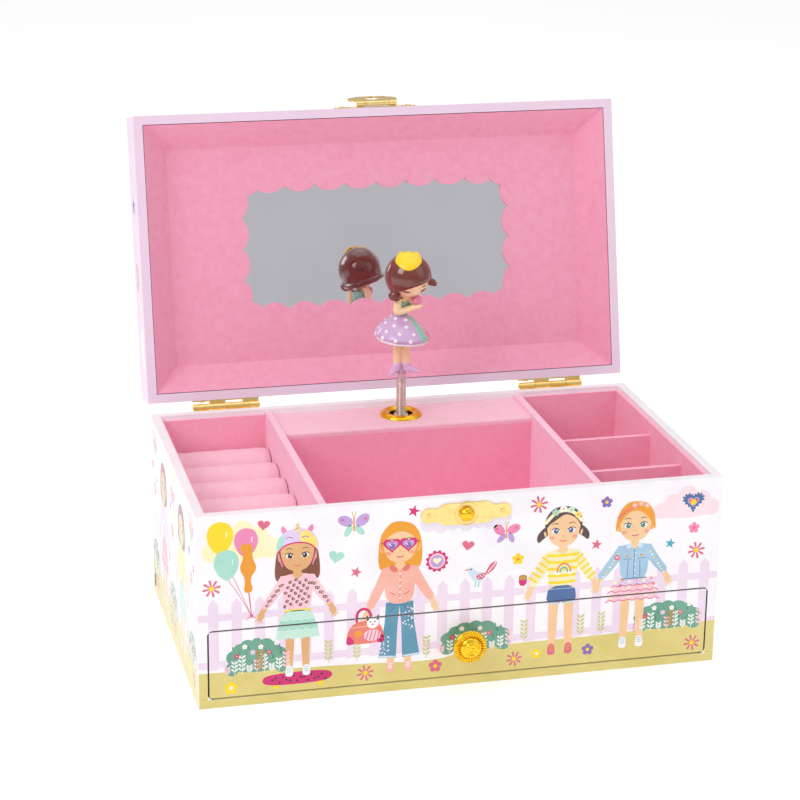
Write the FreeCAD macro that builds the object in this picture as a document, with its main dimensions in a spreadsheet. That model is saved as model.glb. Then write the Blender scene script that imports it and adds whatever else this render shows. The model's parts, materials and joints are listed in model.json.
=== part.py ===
import FreeCAD, Part
import Sketcher
import math
import os
import re

from FreeCAD import Vector

# A musical jewellery box: a paper-covered board case with a lined tray, a drawer, a mirrored lid and a dancer
# that a wind-up movement turns. Millimetres. The origin is the middle of the footprint, X runs along the
# length, the front faces -Y and Z is up. The lid stands open against its hinge stops.

DIMENSIONS = {
    # case
    "case_w": 280, "case_d": 161, "case_h": 106, "board": 5, "lining": 1.5, "lining_drop": 2.6,
    "bay_top": 43.5, "shelf": 3, "floor_card": 1, "opening_fillet": 3,
    # tray
    "divider": 4, "divider_x": 73.5, "divider_top": 104.5, "cross_top": 96.5, "cross_card": 3,
    "cross_rear_y": 14, "cross_front_y": -36, "deck_top": 103, "deck_card": 3, "deck_front_y": 40,
    "roll_count": 6, "roll_pitch": 24.6, "roll_dia": 23.8, "roll_centre_z": 76, "roll_base_top": 66,
    # drawer
    "drawer_gap": 0.9, "drawer_front": 5, "drawer_wall": 3, "drawer_len": 146, "drawer_floor": 2,
    "drawer_side_gap": 1.2, "drawer_rise": 1, "drawer_clear": 2.5, "knob_dia": 18, "knob_reach": 12,
    "knob_x": 1.5, "knob_z": 25.2, "knob_hole": 3.4,
    # lid
    "lid_h": 31, "lid_angle": 103.3, "axis_out": 4, "axis_up": 0.5, "lid_top_board": 4,
    "slope_inset": 19.2, "slope_depth": 15.5, "slope_card": 2.1, "slope_gap": 0.35, "window_card": 1.5,
    "glass": 2, "backing": 1, "scallop_pitch": 17.8, "scallop_depth": 3.9, "window_up": 3,
    # hinges
    "hinge_x": 96, "hinge_w": 38, "leaf_h": 11.5, "leaf": 0.8, "knuckle_dia": 4.2, "pin_dia": 1.9,
    "pin_gap": 0.05, "knuckle_gap": 0.3, "leaf_gap": 1.2, "hinge_screw_up": 7.5,
    # latch and hasp
    "latch_w": 48, "latch_h": 11.5, "latch_z": 97, "stud_dia": 7.2, "stud_reach": 4.2,
    "hasp_up": 2.8, "hasp_out": 2.4, "flap_w": 29, "flap_reach": 18.3, "eye_at": 12.8, "eye_dia": 8.2,
    "flap_raise": 13.3, "hasp_knuckle_dia": 2.8, "hasp_pin_dia": 1.4, "nail_inset": 4.6,
    # dancer
    "dancer_y": 60, "dancer_foot": 128.4, "spring_dia": 5.6, "spring_top": 125.2, "grommet_dia": 24,
    "grommet_hole": 13, "skirt_dia": 32, "hem_z": 146, "waist_z": 163.5, "head_dia": 27, "head_z": 185.5,
    # movement
    "key_z": 70, "bed_half_w": 36, "bed_low": 50, "bed_high": 97, "bed_thick": 2,
    "drum_dia": 13, "drum_low": 62, "drum_high": 86, "arbor_dia": 3,
    "crown_teeth": 38, "drum_pinion_teeth": 20, "crown_module": 0.8,
    "drum_wheel_teeth": 40, "governor_pinion_teeth": 16, "governor_wheel_teeth": 30,
    "fly_pinion_teeth": 15, "wheel_module": 0.5, "key_w": 26,
}

doc = FreeCAD.newDocument("jewellery_box")
sheet = doc.addObject("Spreadsheet::Sheet", "dims")
for row, (alias, number) in enumerate(DIMENSIONS.items(), 1):
    sheet.set(f"A{row}", alias)
    sheet.set(f"B{row}", str(number))
    sheet.setAlias(f"B{row}", alias)
doc.recompute()

PARTS = []


def dim(alias):
    """A driving dimension, read back from the sheet."""
    return float(sheet.get(alias))


def bound(text):
    """An expression in which every alias refers to the sheet."""
    return re.sub(r"[a-z_]+", lambda word: "dims." + word[0] if word[0] in DIMENSIONS else word[0], str(text))


NO_TURN = "rotation(vector(1; 0; 0); 0)"


def turned_about_x(y, z, angle):
    """The expression of a turn by angle about the line through y and z that runs along X."""
    there = f"placement(vector(0; {y}; {z}); rotation(vector(1; 0; 0); {angle}))"
    back = f"placement(vector(0; -({y}); -({z})); {NO_TURN})"
    return f"{there} * {back}"


AXIS_Y = "(case_d / 2 + axis_out)"
AXIS_Z = "(case_h + axis_up)"
RIM_Z = "(case_h + 2 * axis_up)"
HASP_Y = "(-case_d / 2 - hasp_out)"
HASP_Z = "(case_h + 2 * axis_up + hasp_up)"
OPEN_LID = turned_about_x(AXIS_Y, AXIS_Z, "(-lid_angle)")
RAISED_FLAP = turned_about_x(HASP_Y, HASP_Z, "(flap_raise - 180)")
FRAMES = {"case": "", "lid": OPEN_LID + " * ", "flap": f"{OPEN_LID} * {RAISED_FLAP} * "}


def keep(thing, label, frame="case", at=("0", "0", "0")):
    """Names a sub-part and binds its placement: at, in the closed frame, then the frame's own turn."""
    thing.Label = label
    x, y, z = at
    thing.setExpression("Placement", bound(f"{FRAMES[frame]}placement(vector({x}; {y}; {z}); {NO_TURN})"))
    PARTS.append(thing)
    return thing


def box(label, size, at, frame="case"):
    """A rectangular board: its size and its lowest corner are expressions."""
    made = doc.addObject("Part::Box", label)
    for name, text in zip(("Length", "Width", "Height"), size):
        made.setExpression(name, bound(text))
    return keep(made, label, frame, at)


def pair(label, size, places, frame="case"):
    """Separate boards of one size that share a node, one at each place."""
    boards = []
    for number, at in enumerate(places):
        made = doc.addObject("Part::Box", f"{label}_{number}")
        for name, text in zip(("Length", "Width", "Height"), size):
            made.setExpression(name, bound(text))
        x, y, z = at
        made.setExpression("Placement", bound(f"placement(vector({x}; {y}; {z}); {NO_TURN})"))
        boards.append(made)
    group = doc.addObject("Part::Compound", label)
    group.Links = boards
    return keep(group, label, frame)


def solid(label, shape, frame="case"):
    """A sub-part whose shape comes from Part's own functions, in the closed frame."""
    made = doc.addObject("Part::Feature", label)
    made.Shape = shape
    return keep(made, label, frame)


def cylinder(radius, length, at, axis=(0, 0, 1)):
    """A round bar that starts at a point and runs along an axis."""
    return Part.makeCylinder(radius, length, Vector(*at), Vector(*axis))


def block(low, high):
    """A box shape between two corners."""
    return Part.makeBox(*[b - a for a, b in zip(low, high)], Vector(*low))


def prism(points, thickness):
    """A closed outline of points, pushed along a vector."""
    corners = [Vector(*p) for p in points]
    return Part.Face(Part.makePolygon(corners + corners[:1])).extrude(Vector(*thickness))


def plane_of(body, role):
    """One of a body's own origin planes."""
    return next(f for f in body.Origin.OriginFeatures if f.Role == role)


def sketch_on(body, role, name):
    """An empty sketch on one of a body's origin planes."""
    made = body.newObject("Sketcher::SketchObject", name)
    made.AttachmentSupport = (plane_of(body, role), "")
    made.MapMode = "FlatFace"
    return made


def rectangle(sketch, left, low, width, height):
    """A rectangle whose place and size are bound to expressions."""
    corners = [(0, 0), (10, 0), (10, 10), (0, 10)]
    first = sketch.GeometryCount
    for a, b in zip(corners, corners[1:] + corners[:1]):
        sketch.addGeometry(Part.LineSegment(Vector(*a, 0), Vector(*b, 0)))

    def constrain(*what):
        return sketch.addConstraint(Sketcher.Constraint(*what))

    for side in range(4):
        constrain("Coincident", first + side, 2, first + (side + 1) % 4, 1)
    for side in (0, 2):
        constrain("Horizontal", first + side)
        constrain("Vertical", first + side + 1)
    sized = (
        (constrain("DistanceX", first, 1, first, 2, 10.0), width),
        (constrain("DistanceY", first + 1, 1, first + 1, 2, 10.0), height),
        (constrain("DistanceX", -1, 1, first, 1, 1.0), left),
        (constrain("DistanceY", -1, 1, first, 1, 1.0), low),
    )
    for index, text in sized:
        sketch.setExpression(f"Constraints[{index}]", bound(text))


def circle(sketch, x, y, diameter):
    """A circle whose place and size are bound to expressions."""
    index = sketch.addGeometry(Part.Circle(Vector(1, 1, 0), Vector(0, 0, 1), 1))
    sized = (
        (sketch.addConstraint(Sketcher.Constraint("Diameter", index, 2.0)), diameter),
        (sketch.addConstraint(Sketcher.Constraint("DistanceX", -1, 1, index, 3, 1.0)), x),
        (sketch.addConstraint(Sketcher.Constraint("DistanceY", -1, 1, index, 3, 1.0)), y),
    )
    for number, text in sized:
        sketch.setExpression(f"Constraints[{number}]", bound(text))


def pad(body, sketch, length, reverse=False):
    """A pad of a bound length."""
    made = body.newObject("PartDesign::Pad", sketch.Name + "_pad")
    made.Profile = sketch
    made.setExpression("Length", bound(length))
    made.Reversed = reverse
    sketch.Visibility = False
    return made


def cut_through(body, sketch):
    """A pocket through everything, both ways."""
    doc.recompute()
    before = body.Shape.Volume
    made = body.newObject("PartDesign::Pocket", sketch.Name + "_pocket")
    made.Profile = sketch
    made.Type = 1
    made.Midplane = True
    doc.recompute()
    if not body.Shape.Volume < before:
        raise RuntimeError(f"{made.Name} cuts nothing")
    return made


def fillet_edges(body, feature, radius, wanted):
    """A fillet on the edges of a feature that the test picks."""
    doc.recompute()
    names = [f"Edge{i}" for i, e in enumerate(feature.Shape.Edges, 1) if wanted(e)]
    made = body.newObject("PartDesign::Fillet", feature.Name + "_fillet")
    made.Base = (feature, names)
    made.setExpression("Radius", bound(radius))
    return made


def runs_along(edge, axis):
    """True if an edge is straight and parallel to an axis."""
    if not isinstance(edge.Curve, Part.Line):
        return False
    return abs(abs(edge.Curve.Direction.dot(Vector(*axis))) - 1) < 1e-6


# ---------------------------------------------------------------- case


def make_front_board():
    """The front of the case, one board with the drawer's opening in it."""
    body = doc.addObject("PartDesign::Body", "front_board")
    outline = sketch_on(body, "XZ_Plane", "front_outline")
    rectangle(outline, "-case_w / 2", "0", "case_w", "case_h")
    pad(body, outline, "board")
    opening = sketch_on(body, "XZ_Plane", "drawer_opening")
    rectangle(opening, "-case_w / 2 + board", "board", "case_w - 2 * board", "bay_top - board")
    pocket = cut_through(body, opening)
    inner = dim("case_w") / 2 - dim("board") + 0.1

    def opening_corner(edge):
        return runs_along(edge, (0, 1, 0)) and abs(edge.CenterOfMass.x) < inner

    fillet_edges(body, pocket, "opening_fillet", opening_corner)
    keep(body, "front_board", at=("0", "-case_d / 2 + board", "0"))


def make_rear_board():
    """The rear of the case, with the hole for the winding key's arbor."""
    body = doc.addObject("PartDesign::Body", "rear_board")
    outline = sketch_on(body, "XZ_Plane", "rear_outline")
    rectangle(outline, "-case_w / 2", "0", "case_w", "case_h")
    pad(body, outline, "board")
    hole = sketch_on(body, "XZ_Plane", "key_hole")
    circle(hole, "0", "key_z", "arbor_dia + 5")
    cut_through(body, hole)
    keep(body, "rear_board", at=("0", "case_d / 2", "0"))


def make_case_boards():
    """The sides, the bottom and the shelf over the drawer's bay."""
    inner_w, inner_d = "case_w - 2 * board", "case_d - 2 * board"
    low_x, low_y = "-case_w / 2", "-case_d / 2 + board"
    box("left_side_board", ("board", inner_d, "case_h"), (low_x, low_y, "0"))
    box("right_side_board", ("board", inner_d, "case_h"), ("case_w / 2 - board", low_y, "0"))
    box("bottom_board", (inner_w, inner_d, "board"), (low_x + " + board", low_y, "0"))
    box("tray_shelf", (inner_w, inner_d, "shelf"), (low_x + " + board", low_y, "bay_top"))
    box("tray_floor_card", (inner_w, inner_d, "floor_card"), (low_x + " + board", low_y, "bay_top + shelf"))


TRAY_Z = "bay_top + shelf + floor_card"


def make_tray_linings():
    """Flocked cards that line the tray's walls. Behind the dancer's deck the rear wall is bare."""
    height = f"case_h - lining_drop - ({TRAY_Z})"
    side = "case_d - 2 * board - 2 * lining"
    low_x, low_y = "-case_w / 2 + board", "-case_d / 2 + board"
    right_x, rear_y = "case_w / 2 - board - lining", "case_d / 2 - board - lining"
    wing = "case_w / 2 - board - divider_x - divider / 2"
    box("lining_front", ("case_w - 2 * board", "lining", height), (low_x, low_y, TRAY_Z))
    pair("lining_rear", (wing, "lining", height),
         ((low_x, rear_y, TRAY_Z), ("divider_x + divider / 2", rear_y, TRAY_Z)))
    box("lining_left", ("lining", side, height), (low_x, low_y + " + lining", TRAY_Z))
    box("lining_right", ("lining", side, height), (right_x, low_y + " + lining", TRAY_Z))


def make_dividers():
    """Two long dividers, and two short ones between the right compartments."""
    length = "case_d - 2 * board - lining"
    low_y = "-case_d / 2 + board + lining"
    height = f"divider_top - ({TRAY_Z})"
    box("divider_left", ("divider", length, height), ("-divider_x - divider / 2", low_y, TRAY_Z))
    box("divider_right", ("divider", length, height), ("divider_x - divider / 2", low_y, TRAY_Z))
    wing = "case_w / 2 - board - lining - divider_x - divider / 2"
    places = [("divider_x + divider / 2", y, TRAY_Z) for y in ("cross_rear_y", "cross_front_y")]
    pair("cross_dividers", (wing, "cross_card", f"cross_top - ({TRAY_Z})"), places)


def make_deck():
    """The lined cover over the movement: a front card, and a deck with the grommet's hole."""
    width, left = "2 * divider_x - divider", "-divider_x + divider / 2"
    height = f"deck_top - deck_card - ({TRAY_Z})"
    box("deck_front_card", (width, "deck_card", height), (left, "deck_front_y", TRAY_Z))
    body = doc.addObject("PartDesign::Body", "deck_card_body")
    outline = sketch_on(body, "XY_Plane", "deck_outline")
    rectangle(outline, left, "deck_front_y", width, "case_d / 2 - board - deck_front_y")
    pad(body, outline, "deck_card")
    hole = sketch_on(body, "XY_Plane", "grommet_seat")
    circle(hole, "0", "dancer_y", "grommet_hole + 2")
    pocket = cut_through(body, hole)
    front = dim("deck_front_y")

    def front_top_edge(edge):
        point = edge.CenterOfMass
        return runs_along(edge, (1, 0, 0)) and abs(point.y - front) < 0.1 and point.z > dim("deck_card") - 0.1

    fillet_edges(body, pocket, "deck_card / 2", front_top_edge)
    keep(body, "deck_top_card", at=("0", "0", "deck_top - deck_card"))


def make_ring_rolls():
    """The foam ring cushion: six rolls side by side on one base."""
    left = -dim("case_w") / 2 + dim("board") + dim("lining")
    right = -dim("divider_x") - dim("divider") / 2
    length = right - left
    tray_z = dim("bay_top") + dim("shelf") + dim("floor_card")
    rear = dim("case_d") / 2 - dim("board") - dim("lining")
    base_top, pitch = dim("roll_base_top"), dim("roll_pitch")
    front = -dim("case_d") / 2 + dim("board") + dim("lining")
    base = block((left, front, tray_z), (right, rear, base_top + 2))
    rolls = []
    for number in range(int(dim("roll_count"))):
        y = rear - pitch * (number + 0.5)
        roll = cylinder(dim("roll_dia") / 2, length, (left, y, dim("roll_centre_z")), (1, 0, 0))
        rolls.append(roll.cut(block((left - 1, y - pitch, tray_z), (right + 1, y + pitch, base_top))))
    solid("ring_cushion", base.multiFuse(rolls).removeSplitter())


# ---------------------------------------------------------------- drawer


PAD_GAP = 0.3


def make_drawer():
    """The drawer: a front with rounded corners, a box of thin boards, a lining pad and a turned knob."""
    body = doc.addObject("PartDesign::Body", "drawer_front_body")
    outline = sketch_on(body, "XZ_Plane", "drawer_outline")
    width, height = "case_w - 2 * board - 2 * drawer_gap", "bay_top - board - 2 * drawer_gap"
    rectangle(outline, f"-({width}) / 2", "board + drawer_gap", width, height)
    padded = pad(body, outline, "drawer_front")
    rounded = fillet_edges(body, padded, "opening_fillet - drawer_gap", lambda e: runs_along(e, (0, 1, 0)))
    doc.recompute()
    assert rounded.Shape.isValid()
    hole = sketch_on(body, "XZ_Plane", "knob_hole")
    circle(hole, "knob_x", "knob_z", "knob_hole")
    cut_through(body, hole)
    keep(body, "drawer_front", at=("0", "-case_d / 2 + drawer_front", "0"))

    low_z = "board + drawer_rise"
    wall_h = f"bay_top - ({low_z}) - drawer_clear"
    inner = "case_w - 2 * board - 2 * drawer_side_gap"
    low_x, low_y = f"-({inner}) / 2", "-case_d / 2 + drawer_front"
    side_len = "drawer_len - drawer_front"
    pair("drawer_sides", ("drawer_wall", side_len, wall_h),
         ((low_x, low_y, low_z), (f"({inner}) / 2 - drawer_wall", low_y, low_z)))
    back_w = f"{inner} - 2 * drawer_wall"
    box("drawer_back", (back_w, "drawer_wall", wall_h),
        (f"{low_x} + drawer_wall", "-case_d / 2 + drawer_len - drawer_wall", low_z))
    floor_len = "drawer_len - drawer_front - drawer_wall"
    box("drawer_floor", (back_w, floor_len, "drawer_floor"), (f"{low_x} + drawer_wall", low_y, low_z))
    box("drawer_lining_pad", (f"{back_w} - 2 * {PAD_GAP}", f"{floor_len} - 2 * {PAD_GAP}", "lining"),
        (f"{low_x} + drawer_wall + {PAD_GAP}", f"{low_y} + {PAD_GAP}", f"{low_z} + drawer_floor"))


TIP_FLAT = 0.3


def make_knob():
    """The drawer's knob, a turned button on a waisted stem, and the screw that holds it from inside."""
    x, z = dim("knob_x"), dim("knob_z")
    face = -dim("case_d") / 2
    radius, reach = dim("knob_dia") / 2, dim("knob_reach")
    stem, foot, rim = 3.2, 4.6, 2.2
    shank, head_r, slot_half = 1.45, 3.2, 0.35
    back = face - 6.2

    def point(out, y):
        return Vector(x + out, y, z)

    profile = [point(1.5, face), point(foot, face), point(foot, face - 1.2), point(stem, face - 2.6),
               point(stem, face - 4.4), point(radius - 1, back), point(radius, back - rim / 2),
               point(radius - 1, back - rim), point(radius * 0.45, face - reach + 1.2)]
    tip = point(TIP_FLAT, face - reach)
    dome = Part.Arc(profile[-1], point(radius * 0.24, face - reach + 0.3), tip).toShape()
    bore = [tip, point(0, face - reach), point(0, face - 5), point(1.5, face - 5), profile[0]]
    wire = Part.Wire(list(Part.makePolygon(profile).Edges) + [dome] + list(Part.makePolygon(bore).Edges))
    solid("drawer_knob", Part.Face(wire).revolve(point(0, 0), Vector(0, 1, 0), 360))
    inside = face + dim("drawer_front")
    screw = cylinder(shank, dim("drawer_front") + 4.6, (x, face - 4.6, z), (0, 1, 0))
    head = cylinder(head_r, 1.6, (x, inside, z), (0, 1, 0))
    slot = block((x - head_r - 1, inside + 0.9, z - slot_half), (x + head_r + 1, inside + 2, z + slot_half))
    solid("drawer_knob_screw", screw.fuse(head).cut(slot).removeSplitter())


# ---------------------------------------------------------------- lid


def make_lid_boards():
    """The lid's four walls and its top board."""
    inner_w, inner_d = "case_w - 2 * board", "case_d - 2 * board"
    box("lid_front_board", ("case_w", "board", "lid_h"), ("-case_w / 2", "-case_d / 2", RIM_Z), "lid")
    box("lid_rear_board", ("case_w", "board", "lid_h"), ("-case_w / 2", "case_d / 2 - board", RIM_Z), "lid")
    box("lid_left_board", ("board", inner_d, "lid_h"), ("-case_w / 2", "-case_d / 2 + board", RIM_Z), "lid")
    box("lid_right_board", ("board", inner_d, "lid_h"),
        ("case_w / 2 - board", "-case_d / 2 + board", RIM_Z), "lid")
    box("lid_top_board", (inner_w, inner_d, "lid_top_board"),
        ("-case_w / 2 + board", "-case_d / 2 + board", f"{RIM_Z} + lid_h - lid_top_board"), "lid")


def closed_solid(points, faces):
    """A solid from corner points and its flat faces."""
    made = [Part.Face(Part.makePolygon([points[i] for i in face] + [points[face[0]]])) for face in faces]
    return Part.makeSolid(Part.makeShell(made))


def make_lid_slopes():
    """Four sloping lining cards, mitred at the corners, from the lid's rim down to the mirror's frame."""
    rim_z = dim("case_h") + 2 * dim("axis_up")
    near, far = dim("board") + dim("slope_gap"), dim("slope_inset")
    deep, card = dim("slope_depth"), dim("slope_card")
    section = ((near, dim("slope_gap")), (far, deep), (far - card, deep), (near, dim("slope_gap") + card))
    half_w, half_d = dim("case_w") / 2, dim("case_d") / 2
    faces = [(0, 1, 2, 3), (7, 6, 5, 4)] + [(i, i + 4, (i + 1) % 4 + 4, (i + 1) % 4) for i in range(4)]

    def strip(along_x, sign):
        ends = []
        for side in (-1, 1):
            for inset, depth in section:
                x, y = side * (half_w - inset), sign * (half_d - inset)
                if not along_x:
                    x, y = sign * (half_w - inset), side * (half_d - inset)
                ends.append(Vector(x, y, rim_z + depth))
        made = closed_solid(ends, faces)
        return made if made.Volume > 0 else made.reversed()

    strips = [strip(along_x, sign) for along_x in (True, False) for sign in (-1, 1)]
    solid("lid_slope_cards", Part.makeCompound(strips), "lid")


def scalloped_outline(z):
    """The mirror's window: a rectangle of inward scallops, with a small slanting scallop at each corner."""
    pitch, depth = dim("scallop_pitch"), dim("scallop_depth")
    half_x, half_y = 4.46 * pitch, 2 * pitch
    corner_x, corner_y = 3.9 * pitch, 1.7 * pitch
    quarter = [Vector(i * pitch, half_y, 0) for i in range(0, 4)]
    quarter += [Vector(corner_x, half_y - 0.1 * pitch, 0), Vector(half_x - 0.22 * pitch, corner_y, 0)]
    quarter += [Vector(half_x, pitch, 0), Vector(half_x, 0, 0)]
    mirrored = [Vector(p.x, -p.y, 0) for p in reversed(quarter[:-1])]
    right = quarter + mirrored
    left = [Vector(-p.x, p.y, 0) for p in reversed(right[1:-1])]
    peaks = right + left
    edges = []
    for a, b in zip(peaks, peaks[1:] + peaks[:1]):
        chord = b - a
        inward = Vector(chord.y, -chord.x, 0).normalize()
        middle = (a + b) * 0.5 + inward * depth * min(1, (chord.Length / pitch) ** 2)
        edges.append(Part.Arc(a, middle, b).toShape())
    wire = Part.Wire(edges)
    wire.translate(Vector(0, dim("window_up") * -1, z))
    return wire


def make_lid_window():
    """The frame card with the scalloped window, the mirror behind it and the card that backs the mirror."""
    rim_z = dim("case_h") + 2 * dim("axis_up")
    low = rim_z + dim("slope_depth")
    card, glass, backing = dim("window_card"), dim("glass"), dim("backing")
    half_x = dim("case_w") / 2 - dim("board") - dim("slope_gap")
    half_y = dim("case_d") / 2 - dim("board") - dim("slope_gap")
    panel = block((-half_x, -half_y, low), (half_x, half_y, low + card))
    hole = Part.Face(scalloped_outline(low - 1)).extrude(Vector(0, 0, card + 2))
    solid("lid_window_card", panel.cut(hole), "lid")
    middle = -dim("window_up")

    def sheet_behind(half_x, half_y, bottom, thick):
        return block((-half_x, middle - half_y, bottom), (half_x, middle + half_y, bottom + thick))

    glass_x, glass_y, margin = 88, 43, 8
    solid("mirror_glass", sheet_behind(glass_x, glass_y, low + card, glass), "lid")
    backing_sheet = sheet_behind(glass_x + margin, glass_y + margin, low + card + glass, backing)
    solid("mirror_backing_card", backing_sheet, "lid")


# ---------------------------------------------------------------- hinges


LEAF_HOLE = 1.25
HINGE_SCREW = {"shank": 1.1, "head": 2, "head_h": 0.9, "length": 4.5}
NAIL = {"shank": 0.75, "head": 1.3, "head_h": 0.5, "length": 4}
NAIL_HOLE = 0.85


def hinge_leaf(x, upward):
    """A leaf on the rear face with two of a hinge's knuckles. upward is 1 on the lid and -1 on the case."""
    width, leaf, height = dim("hinge_w"), dim("leaf"), dim("leaf_h")
    rear, axis_y = dim("case_d") / 2, dim("case_d") / 2 + dim("axis_out")
    axis_z, radius = dim("case_h") + dim("axis_up"), dim("knuckle_dia") / 2
    gap = dim("leaf_gap")
    near, far = axis_z + upward * gap, axis_z + upward * (gap + height)
    plate = block((x - width / 2, rear, min(near, far)), (x + width / 2, rear + leaf, max(near, far)))
    step = width / 4
    shapes = []
    for number in ((0, 2) if upward < 0 else (1, 3)):
        left = x - width / 2 + number * step + dim("knuckle_gap") / 2
        long = step - dim("knuckle_gap")
        shapes.append(cylinder(radius, long, (left, axis_y, axis_z), (1, 0, 0)))
        low, high = sorted((axis_z + upward * gap, axis_z + upward * radius))
        shapes.append(block((left, rear, low), (left + long, axis_y, high)))
    made = plate.multiFuse(shapes)
    bore = dim("pin_dia") / 2 + dim("pin_gap")
    made = made.cut(cylinder(bore, width + 2, (x - width / 2 - 1, axis_y, axis_z), (1, 0, 0)))
    for side in (-1, 1):
        screw_z = axis_z + upward * dim("hinge_screw_up")
        hole = cylinder(LEAF_HOLE, leaf + 2, (x + side * width / 3, rear - 1, screw_z), (0, 1, 0))
        made = made.cut(hole)
    return made.removeSplitter()


def pan_screws(places, shank, head, head_h, length):
    """A group of round-headed screws that point along +Y into a board, one per (x, y, z) under the head."""
    made = []
    for x, y, z, way in places:
        body = cylinder(shank, length, (x, y, z), (0, way, 0))
        cap = cylinder(head, head_h, (x, y, z), (0, -way, 0))
        slot_low, slot_high = sorted((y - way * head_h * 0.5, y - way * (head_h + 1)))
        slot = block((x - head - 1, slot_low, z - 0.25), (x + head + 1, slot_high, z + 0.25))
        made.append(body.fuse(cap).cut(slot).removeSplitter())
    return Part.makeCompound(made)


def make_hinges():
    """Two butt hinges with stops: a leaf on the case, a leaf on the lid and a pin each, and their screws."""
    axis_y, axis_z = dim("case_d") / 2 + dim("axis_out"), dim("case_h") + dim("axis_up")
    rear, width = dim("case_d") / 2 + dim("leaf"), dim("hinge_w")
    case_places, lid_places = [], []
    centres = (-dim("hinge_x"), dim("hinge_x"))
    solid("hinge_case_leaves", Part.makeCompound([hinge_leaf(x, -1) for x in centres]))
    solid("hinge_lid_leaves", Part.makeCompound([hinge_leaf(x, 1) for x in centres]), "lid")
    pin_r, pin_long = dim("pin_dia") / 2, width + 0.6
    pins = [cylinder(pin_r, pin_long, (x - pin_long / 2, axis_y, axis_z), (1, 0, 0)) for x in centres]
    solid("hinge_pins", Part.makeCompound(pins))
    for x in centres:
        for side in (-1, 1):
            case_places.append((x + side * width / 3, rear, axis_z - dim("hinge_screw_up"), -1))
            lid_places.append((x + side * width / 3, rear, axis_z + dim("hinge_screw_up"), -1))
    solid("hinge_case_screws", pan_screws(case_places, **HINGE_SCREW))
    solid("hinge_lid_screws", pan_screws(lid_places, **HINGE_SCREW), "lid")


# ---------------------------------------------------------------- latch


def plate_outline(width, height, y, z):
    """The latch plate's outline: a straight middle, and a rounded ear at each end beyond a shallow neck."""
    half, tall = width / 2, height / 2
    ear, neck, shoulder = half - 5.5, half - 9, half - 12.5
    lower_ear = tall * 0.72

    def point(x, up):
        return Vector(x, y, z + up)

    top = [point(-shoulder, tall), point(shoulder, tall), point(neck, lower_ear * 0.86),
           point(ear, lower_ear * 0.9)]
    tip_arc = Part.Arc(point(ear, lower_ear * 0.9), point(half, 0), point(ear, -lower_ear * 0.9)).toShape()
    edges = list(Part.makePolygon(top).Edges) + [tip_arc]
    lower = [point(p.x, -(p.z - z)) for p in reversed(top)]
    edges += list(Part.makePolygon(lower).Edges)
    back = [point(-shoulder, -tall), point(-neck, -lower_ear * 0.86), point(-ear, -lower_ear * 0.9)]
    edges += list(Part.makePolygon(back).Edges)
    edges.append(Part.Arc(back[-1], point(-half, 0), point(-ear, lower_ear * 0.9)).toShape())
    last = [point(-ear, lower_ear * 0.9), point(-neck, lower_ear * 0.86), top[0]]
    edges += list(Part.makePolygon(last).Edges)
    return Part.Wire(edges)


def make_latch():
    """The strike plate on the case: a stamped plate, a domed stud and two small nails."""
    face, z = -dim("case_d") / 2, dim("latch_z")
    leaf = dim("leaf")
    plate = Part.Face(plate_outline(dim("latch_w"), dim("latch_h"), face, z)).extrude(Vector(0, -leaf, 0))
    nail_x = dim("latch_w") / 2 - dim("nail_inset")
    for x in (-nail_x, nail_x):
        plate = plate.cut(cylinder(NAIL_HOLE, 4, (x, face + 1, z), (0, -1, 0)))
    plate = plate.cut(cylinder(1.6, 4, (0, face + 1, z), (0, -1, 0)))
    solid("latch_plate", plate)
    radius, tall = dim("stud_dia") / 2, dim("stud_reach")
    top = face - leaf
    neck = radius - 0.7

    def point(out, y):
        return Vector(out, y, z)

    points = [point(0, face + 3), point(1.5, face + 3), point(1.5, top), point(neck, top),
              point(neck, top - tall * 0.35), point(radius, top - tall * 0.5)]
    tip = point(TIP_FLAT, top - tall)
    dome = Part.Arc(points[-1], point(radius * 0.75, top - tall * 0.86), tip).toShape()
    core = Part.makePolygon([tip, point(0, top - tall), points[0]])
    wire = Part.Wire(list(Part.makePolygon(points).Edges) + [dome] + list(core.Edges))
    solid("latch_stud", Part.Face(wire).revolve(point(0, 0), Vector(0, 1, 0), 360))
    places = [(x, top, z, 1) for x in (-nail_x, nail_x)]
    solid("latch_nails", pan_screws(places, **NAIL))


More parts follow.
